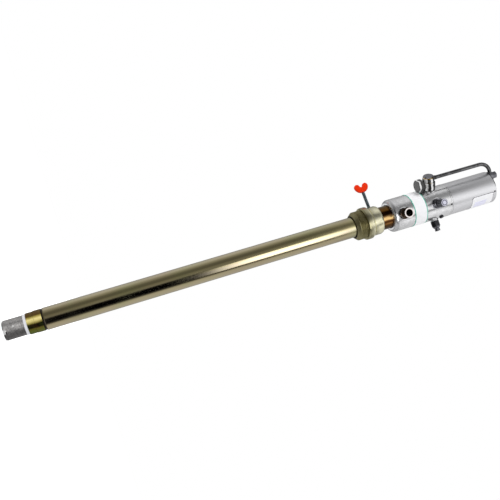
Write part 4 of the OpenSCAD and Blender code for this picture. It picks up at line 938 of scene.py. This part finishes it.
class PUMP_OT_labels(bpy.types.Operator):
    """Build the cylinder's bare label with its outline and a plain pale panel"""

    bl_idname = "pump.labels"
    bl_label = "Labels"

    START = math.radians(288.0)
    SWEEP = math.radians(112.0)
    FILM = 0.25 * MM
    INK = 0.05 * MM
    CORNER_STEPS = 6

    def execute(self, context):
        sizes = context.scene.pump_sizes
        low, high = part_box("cylinder_label")
        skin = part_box("air_cylinder")[1].x + 0.1 * MM
        printed = skin + self.FILM
        tall = high.z - low.z
        wide = self.SWEEP * skin
        slant, bend = sizes.label_slant, sizes.label_round
        line = 1 * MM
        left, right, bottom, top = 13 * MM, 31 * MM, 7 * MM, tall - 16 * MM
        outline = self.rounded([(slant, 0), (wide, 0), (wide, tall), (0, tall), (0, slant)], bend)
        inset = self.rounded([(slant + line / 2, line), (wide - line, line), (wide - line, tall - line),
                              (line, tall - line), (line, slant + line / 2)], bend)
        block = self.rounded([(left, bottom), (right, bottom), (right, top), (left, top)], 1 * MM)
        plate = self.film("cylinder_label_film", outline, skin, self.FILM, low.z, finish("plate_film"))
        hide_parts("cylinder_label")
        panel = self.film("cylinder_label_panel", block, printed, self.INK, low.z, finish("label_ink"))
        edge = self.outline_strip("cylinder_label_line", outline, inset, printed, low.z)
        for piece in (plate, panel, edge):
            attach(piece, "pump")
        return {"FINISHED"}

    def rounded(self, corners, radius):
        """The polygon's outline with each corner rounded by a short curve."""
        made = []
        count = len(corners)
        for i, corner in enumerate(corners):
            here = Vector(corner)
            before = Vector(corners[i - 1]) - here
            after = Vector(corners[(i + 1) % count]) - here
            reach = min(radius, before.length / 2.2, after.length / 2.2)
            first = here + before.normalized() * reach
            last = here + after.normalized() * reach
            for step in range(self.CORNER_STEPS + 1):
                t = step / self.CORNER_STEPS
                made.append((1 - t) ** 2 * first + 2 * t * (1 - t) * here + t ** 2 * last)
        return made

    def wrapped(self, point, skin, lift, base):
        """A point of the flat label, wrapped round the cylinder."""
        radius = skin + lift
        angle = self.START + point.x / radius
        return Vector((radius * math.cos(angle), radius * math.sin(angle), base + point.y))

    def film(self, name, outline, skin, thick, base, material):
        """A closed, thin film, cut into narrow strips so that it follows the cylinder."""
        left = min(p.x for p in outline)
        right = max(p.x for p in outline)
        inside = 1e-6
        columns = 56
        points = []
        for column in range(columns + 1):
            x = left + (right - left) * (0.5 - 0.5 * math.cos(math.pi * column / columns))
            heights = self.crossings(outline, min(max(x, left + inside), right - inside))
            for y in (min(heights), max(heights)):
                points += [self.wrapped(Vector((x, y)), skin, lift, base) for lift in (0, thick)]
        faces = []
        for column in range(columns):
            a, b = 4 * column, 4 * (column + 1)
            faces += [(a + 1, b + 1, b + 3, a + 3), (a, a + 2, b + 2, b), (a, b, b + 1, a + 1),
                      (a + 2, a + 3, b + 3, b + 2)]
        last = 4 * columns
        faces += [(0, 1, 3, 2), (last, last + 2, last + 3, last + 1)]
        return new_object(name, points, faces, material)

    @staticmethod
    def crossings(outline, x):
        """Heights at which the outline crosses the upright line at x."""
        found = []
        for i, b in enumerate(outline):
            a = outline[i - 1]
            if (a.x - x) * (b.x - x) <= 0 and a.x != b.x:
                found.append(a.y + (b.y - a.y) * (x - a.x) / (b.x - a.x))
        return found

    def outline_strip(self, name, outer, inner, skin, base):
        """The thin printed line along the label's edge."""
        pairs = list(zip(self.finer(outer), self.finer(inner)))
        points = [self.wrapped(point, skin, lift, base)
                  for pair in pairs for lift in (0, self.INK) for point in pair]
        count = len(pairs)
        faces = []
        for i in range(count):
            a, b = 4 * i, 4 * ((i + 1) % count)
            faces += [(a + 2, b + 2, b + 3, a + 3), (a, a + 1, b + 1, b), (a, b, b + 2, a + 2),
                      (a + 1, a + 3, b + 3, b + 1)]
        return new_object(name, points, faces, finish("label_line"))

    def finer(self, outline):
        """The outline with its straight edges cut up, so that it can follow the cylinder."""
        cuts = 14
        made = []
        for i, b in enumerate(outline):
            steps = cuts if i % (self.CORNER_STEPS + 1) == 0 else 1
            made += [outline[i - 1].lerp(b, (k + 1) / steps) for k in range(steps)]
        return made


# Studio


CAMERA_TURN = 265.3
CAMERA_DISTANCE = 1.262
CAMERA_HEIGHT = -0.5406
CAMERA_YAW = -0.659
CAMERA_TILT = 13.204
CAMERA_ROLL = -16.604
CAMERA_LENS = 46.97
LAMPS_AIM = Vector((0, 0, -0.1))

# Each row holds levels of the reflected studio by angle, in degrees from the camera's side towards the top of
# the picture. The rows face the suction tube, the adapter and collar, the motor body and the air cylinder.
# They were worked out from brightness read across the photograph, and then adjusted.
TUBE_ROW = (
    (-180, 0.95), (-172, 0.9), (-166, 0.4), (-154, 0.25), (-140, 0.5), (-78, 0.5), (-66, 0.36), (-58, 0.05),
    (-50, 0.03), (-2, 0.08), (6, 0.22), (24, 0.18), (34, 0.11), (55, 0.13), (85, 0.36), (102, 0.52),
    (138, 0.5), (150, 0.2), (164, 0.24), (172, 0.9), (180, 0.95),
)
ADAPTER_ROW = (
    (-180, 0.9), (-172, 0.8), (-166, 0.4), (-154, 0.25), (-140, 0.4), (-117, 0.3), (-91, 0.5), (-71, 0.52),
    (-53, 0.35), (-44, 0.42), (-36, 0.8), (-20, 1.4), (-4, 1.0), (12, 0.34), (28, 0.2), (44, 0.17),
    (61, 0.32), (80, 0.48), (116, 0.42), (138, 0.4), (150, 0.2), (164, 0.24), (172, 0.8), (180, 0.9),
)
BODY_ROW = (
    (-180, 1.1), (-170, 1.0), (-162, 0.4), (-152, 0.35), (-140, 0.7), (-124, 0.72), (-98, 0.8), (-80, 0.95),
    (-64, 1.25), (-55, 0.9), (-47, 0.14), (-41, 0.12), (-34, 1.1), (-6, 1.25), (8, 0.7), (20, 0.22),
    (46, 0.17), (60, 0.7), (78, 0.85), (98, 0.7), (130, 0.5), (148, 0.3), (162, 0.4), (170, 1.0), (180, 1.1),
)
CYLINDER_ROW = (
    (-180, 1.1), (-170, 1.0), (-156, 0.5), (-140, 0.55), (-97, 0.62), (-60, 0.8), (-29, 1.3), (-14, 1.2),
    (7, 0.8), (29, 0.5), (52, 0.4), (78, 0.42), (140, 0.42), (154, 0.4), (168, 0.9), (180, 1.1),
)
# The heights on the drum between which each row above the tube's takes over
TAKEOVERS = ((ADAPTER_ROW, (0.08, 0.18)), (BODY_ROW, (0.27, 0.31)), (CYLINDER_ROW, (0.48, 0.6)))
# The long lamp along the tube: its angles, its strength, and the heights between which it fades in
BAND = (-50, -46, -6, 2)
BAND_STRENGTH = 2.2
BAND_FADES_IN = (-0.31, -0.1)


def view_directions():
    """The direction from the pump to the camera, across its axis, and the one that is up in the picture."""
    turn = math.radians(CAMERA_TURN)
    toward = Vector((math.cos(turn), math.sin(turn), 0))
    upward = Vector((math.sin(turn), -math.cos(turn), 0))
    return toward, upward


def seen_directly(tree):
    """1 for rays from the camera, in reflections and through glass, and 0 for those that light the scene."""
    path = put(tree, "ShaderNodeLightPath").outputs
    seen = math_node(tree, "MAXIMUM", path["Is Camera Ray"], path["Is Glossy Ray"])
    return math_node(tree, "MAXIMUM", seen, path["Is Transmission Ray"])


def glowing(name, level):
    """A material that glows white. level is a function of its tree that gives the strength."""
    material = bpy.data.materials.new(name)
    material.use_nodes = True
    tree = material.node_tree
    tree.nodes.clear()
    glow = put(tree, "ShaderNodeEmission", {"Color": (1, 1, 1, 1), "Strength": level(tree)})
    put(tree, "ShaderNodeOutputMaterial", {"Surface": glow.outputs["Emission"]})
    return material


def drum_level(tree):
    """The studio that the metal reflects: grey all round, and a long lamp that ends before the foot."""
    where = put(tree, "ShaderNodeTexCoord").outputs["Object"]
    height = part_of(tree, where)
    degrees = span(tree, shared(tree, "side", {"Vector": where})["Turn"], -180.0, 180.0)
    inside = math_node(tree, "MULTIPLY", span(tree, degrees, 0.0, 1.0, *BAND[:2]),
                       span(tree, degrees, 1.0, 0.0, *BAND[2:]))
    lamp = span(tree, height, 0.0, BAND_STRENGTH, *BAND_FADES_IN, interpolation_type="SMOOTHSTEP")
    level = mix(tree, inside, by_side(tree, where, TUBE_ROW), lamp, "FLOAT")
    for row, heights in TAKEOVERS:
        level = mix(tree, span(tree, height, 0.0, 1.0, *heights), level, by_side(tree, where, row), "FLOAT")
    return level


class PUMP_OT_camera(bpy.types.Operator):
    """Place the camera at the photograph's viewing angle"""

    bl_idname = "pump.camera"
    bl_label = "Camera"

    def execute(self, context):
        toward, upward = view_directions()
        yaw, tilt, roll = (math.radians(v) for v in (CAMERA_YAW, CAMERA_TILT, CAMERA_ROLL))
        up_axis = Vector((0, 0, 1))
        ahead = -upward * math.sin(yaw) - toward * math.cos(yaw) * math.cos(tilt)
        ahead += up_axis * math.cos(yaw) * math.sin(tilt)
        level_right = ahead.cross(upward).normalized()
        level_up = level_right.cross(ahead)
        right = level_right * math.cos(roll) + level_up * math.sin(roll)
        above = level_up * math.cos(roll) - level_right * math.sin(roll)
        data = bpy.data.cameras.new("Camera")
        data.sensor_width = 36
        data.lens = CAMERA_LENS
        data.clip_start = 0.05
        data.clip_end = 30
        camera = bpy.data.objects.new("Camera", data)
        camera.location = toward * CAMERA_DISTANCE + up_axis * CAMERA_HEIGHT
        camera.rotation_mode = "QUATERNION"
        camera.rotation_quaternion = Matrix((right, above, -ahead)).transposed().to_quaternion()
        context.scene.collection.objects.link(camera)
        context.scene.camera = camera
        return {"FINISHED"}


class PUMP_OT_stage(bpy.types.Operator):
    """Build the floor, the white surroundings, the lamps, and the drum and cards that the metal reflects"""

    bl_idname = "pump.stage"
    bl_label = "Studio"

    def execute(self, context):
        scene = context.scene
        scene.view_settings.view_transform = "Standard"
        self.build_world(scene)
        self.build_floor()
        self.build_lamps(scene)
        self.build_reflections()
        return {"FINISHED"}

    @staticmethod
    def build_world(scene):
        """White to the camera and in reflections, and a little less as light."""
        world = bpy.data.worlds.new("Studio")
        scene.world = world
        world.use_nodes = True
        tree = world.node_tree
        tree.nodes.clear()
        strength = span(tree, seen_directly(tree), 0.62, 1.0)
        back = put(tree, "ShaderNodeBackground", {"Color": (1, 1, 1, 1), "Strength": strength})
        out = put(tree, "ShaderNodeOutputWorld", {"Surface": back.outputs["Background"]})
        out.is_active_output = True

    @staticmethod
    def build_floor():
        """A pale floor at the foot's end that is white to the camera where no shadow falls."""
        foot = CAD_BOX[0].z
        half = 4.0
        corners = [(-half, -half, foot), (half, -half, foot), (half, half, foot), (-half, half, foot)]
        material, tree, shader, _ = ground(
            "Pale floor", Base_Color=(0.82, 0.82, 0.82, 1), Roughness=0.9, Specular_IOR_Level=0.1,
            Emission_Color=(1, 1, 1, 1))
        tree.links.new(math_node(tree, "MULTIPLY", seen_directly(tree), 0.55), shader["Emission Strength"])
        floor = new_object("floor", corners, [(0, 1, 2, 3)], material, smooth=False)

    @staticmethod
    def build_lamps(scene):
        """Two broad lamps on the camera's side, towards the picture's top and bottom, and one behind."""
        toward, upward = view_directions()
        for name, place, size, power in (
            ("Key lamp", toward * 1.6 + upward * 1.9 + Vector((0, 0, 0.9)), 1.2, 34),
            ("Fill lamp", toward * 1.2 - upward * 2.0 + Vector((0, 0, 0.5)), 1.6, 20),
            ("Back lamp", -toward * 2.2 + upward * 0.8 + Vector((0, 0, 1.0)), 1.4, 22),
        ):
            data = bpy.data.lights.new(name, "AREA")
            data.shape = "DISK"
            data.size = size
            data.energy = power
            lamp = bpy.data.objects.new(name, data)
            lamp.location = place
            lamp.rotation_mode = "QUATERNION"
            lamp.rotation_quaternion = (LAMPS_AIM - place).to_track_quat("-Z", "Y")
            lamp.visible_glossy = False
            lamp.visible_camera = False
            scene.collection.objects.link(lamp)

    @staticmethod
    def build_reflections():
        """A wide drum round the pump, a dark lid on it and a dark card on the floor, for reflections only.

        They hide the white surroundings from the metal.
        """
        radius, low, high = 0.5, -2.4, 1.5
        card_height = CAD_BOX[0].z + 0.02 * MM
        steps = 96
        rim = [(radius * math.cos(FULL_TURN * i / steps), radius * math.sin(FULL_TURN * i / steps))
               for i in range(steps)]
        points = [(x, y, z) for x, y in rim for z in (low, high)]
        faces = [(2 * i, 2 * j, 2 * j + 1, 2 * i + 1) for i, j in ((i, (i + 1) % steps) for i in range(steps))]
        disc = [tuple(range(steps))]
        for card in (
            new_object("reflection_drum", points, faces, glowing("Reflection drum", drum_level), smooth=False),
            new_object("reflection_lid", [(x, y, high) for x, y in rim], disc,
                       glowing("Dark lid", lambda tree: 0.12), smooth=False),
            new_object("reflection_ground", [(x, y, card_height) for x, y in rim], disc,
                       glowing("Dark ground", lambda tree: 0.1), smooth=False),
        ):
            card.visible_camera = False
            card.visible_diffuse = False
            card.visible_shadow = False
            card.visible_transmission = False
            card.visible_volume_scatter = False


# Panel and registration


class PUMP_PT_panel(bpy.types.Panel):
    """Lists the pump's operators"""

    bl_idname = "PUMP_PT_panel"
    bl_label = "Drum pump"
    bl_space_type = "VIEW_3D"
    bl_region_type = "UI"
    bl_category = "Pump"

    def draw(self, context):
        for operator in OPERATORS:
            self.layout.operator(operator.bl_idname)


OPERATORS = (
    PUMP_OT_camera,
    PUMP_OT_stage,
    PUMP_OT_dress_nodes,
    PUMP_OT_adapter,
    PUMP_OT_lock_screw,
    PUMP_OT_outlet,
    PUMP_OT_labels,
)
CLASSES = (PumpSizes, PumpColours, *OPERATORS, PUMP_PT_panel)


def register():
    for cls in CLASSES:
        bpy.utils.register_class(cls)
    bpy.types.Scene.pump_sizes = bpy.props.PointerProperty(type=PumpSizes)
    bpy.types.Scene.pump_colours = bpy.props.PointerProperty(type=PumpColours)


def unregister():
    del bpy.types.Scene.pump_colours
    del bpy.types.Scene.pump_sizes
    for cls in reversed(CLASSES):
        bpy.utils.unregister_class(cls)


def main():
    register()
    for operator in OPERATORS:
        group, name = operator.bl_idname.split(".")
        getattr(getattr(bpy.ops, group), name)()


if __name__ == "__main__":
    main()
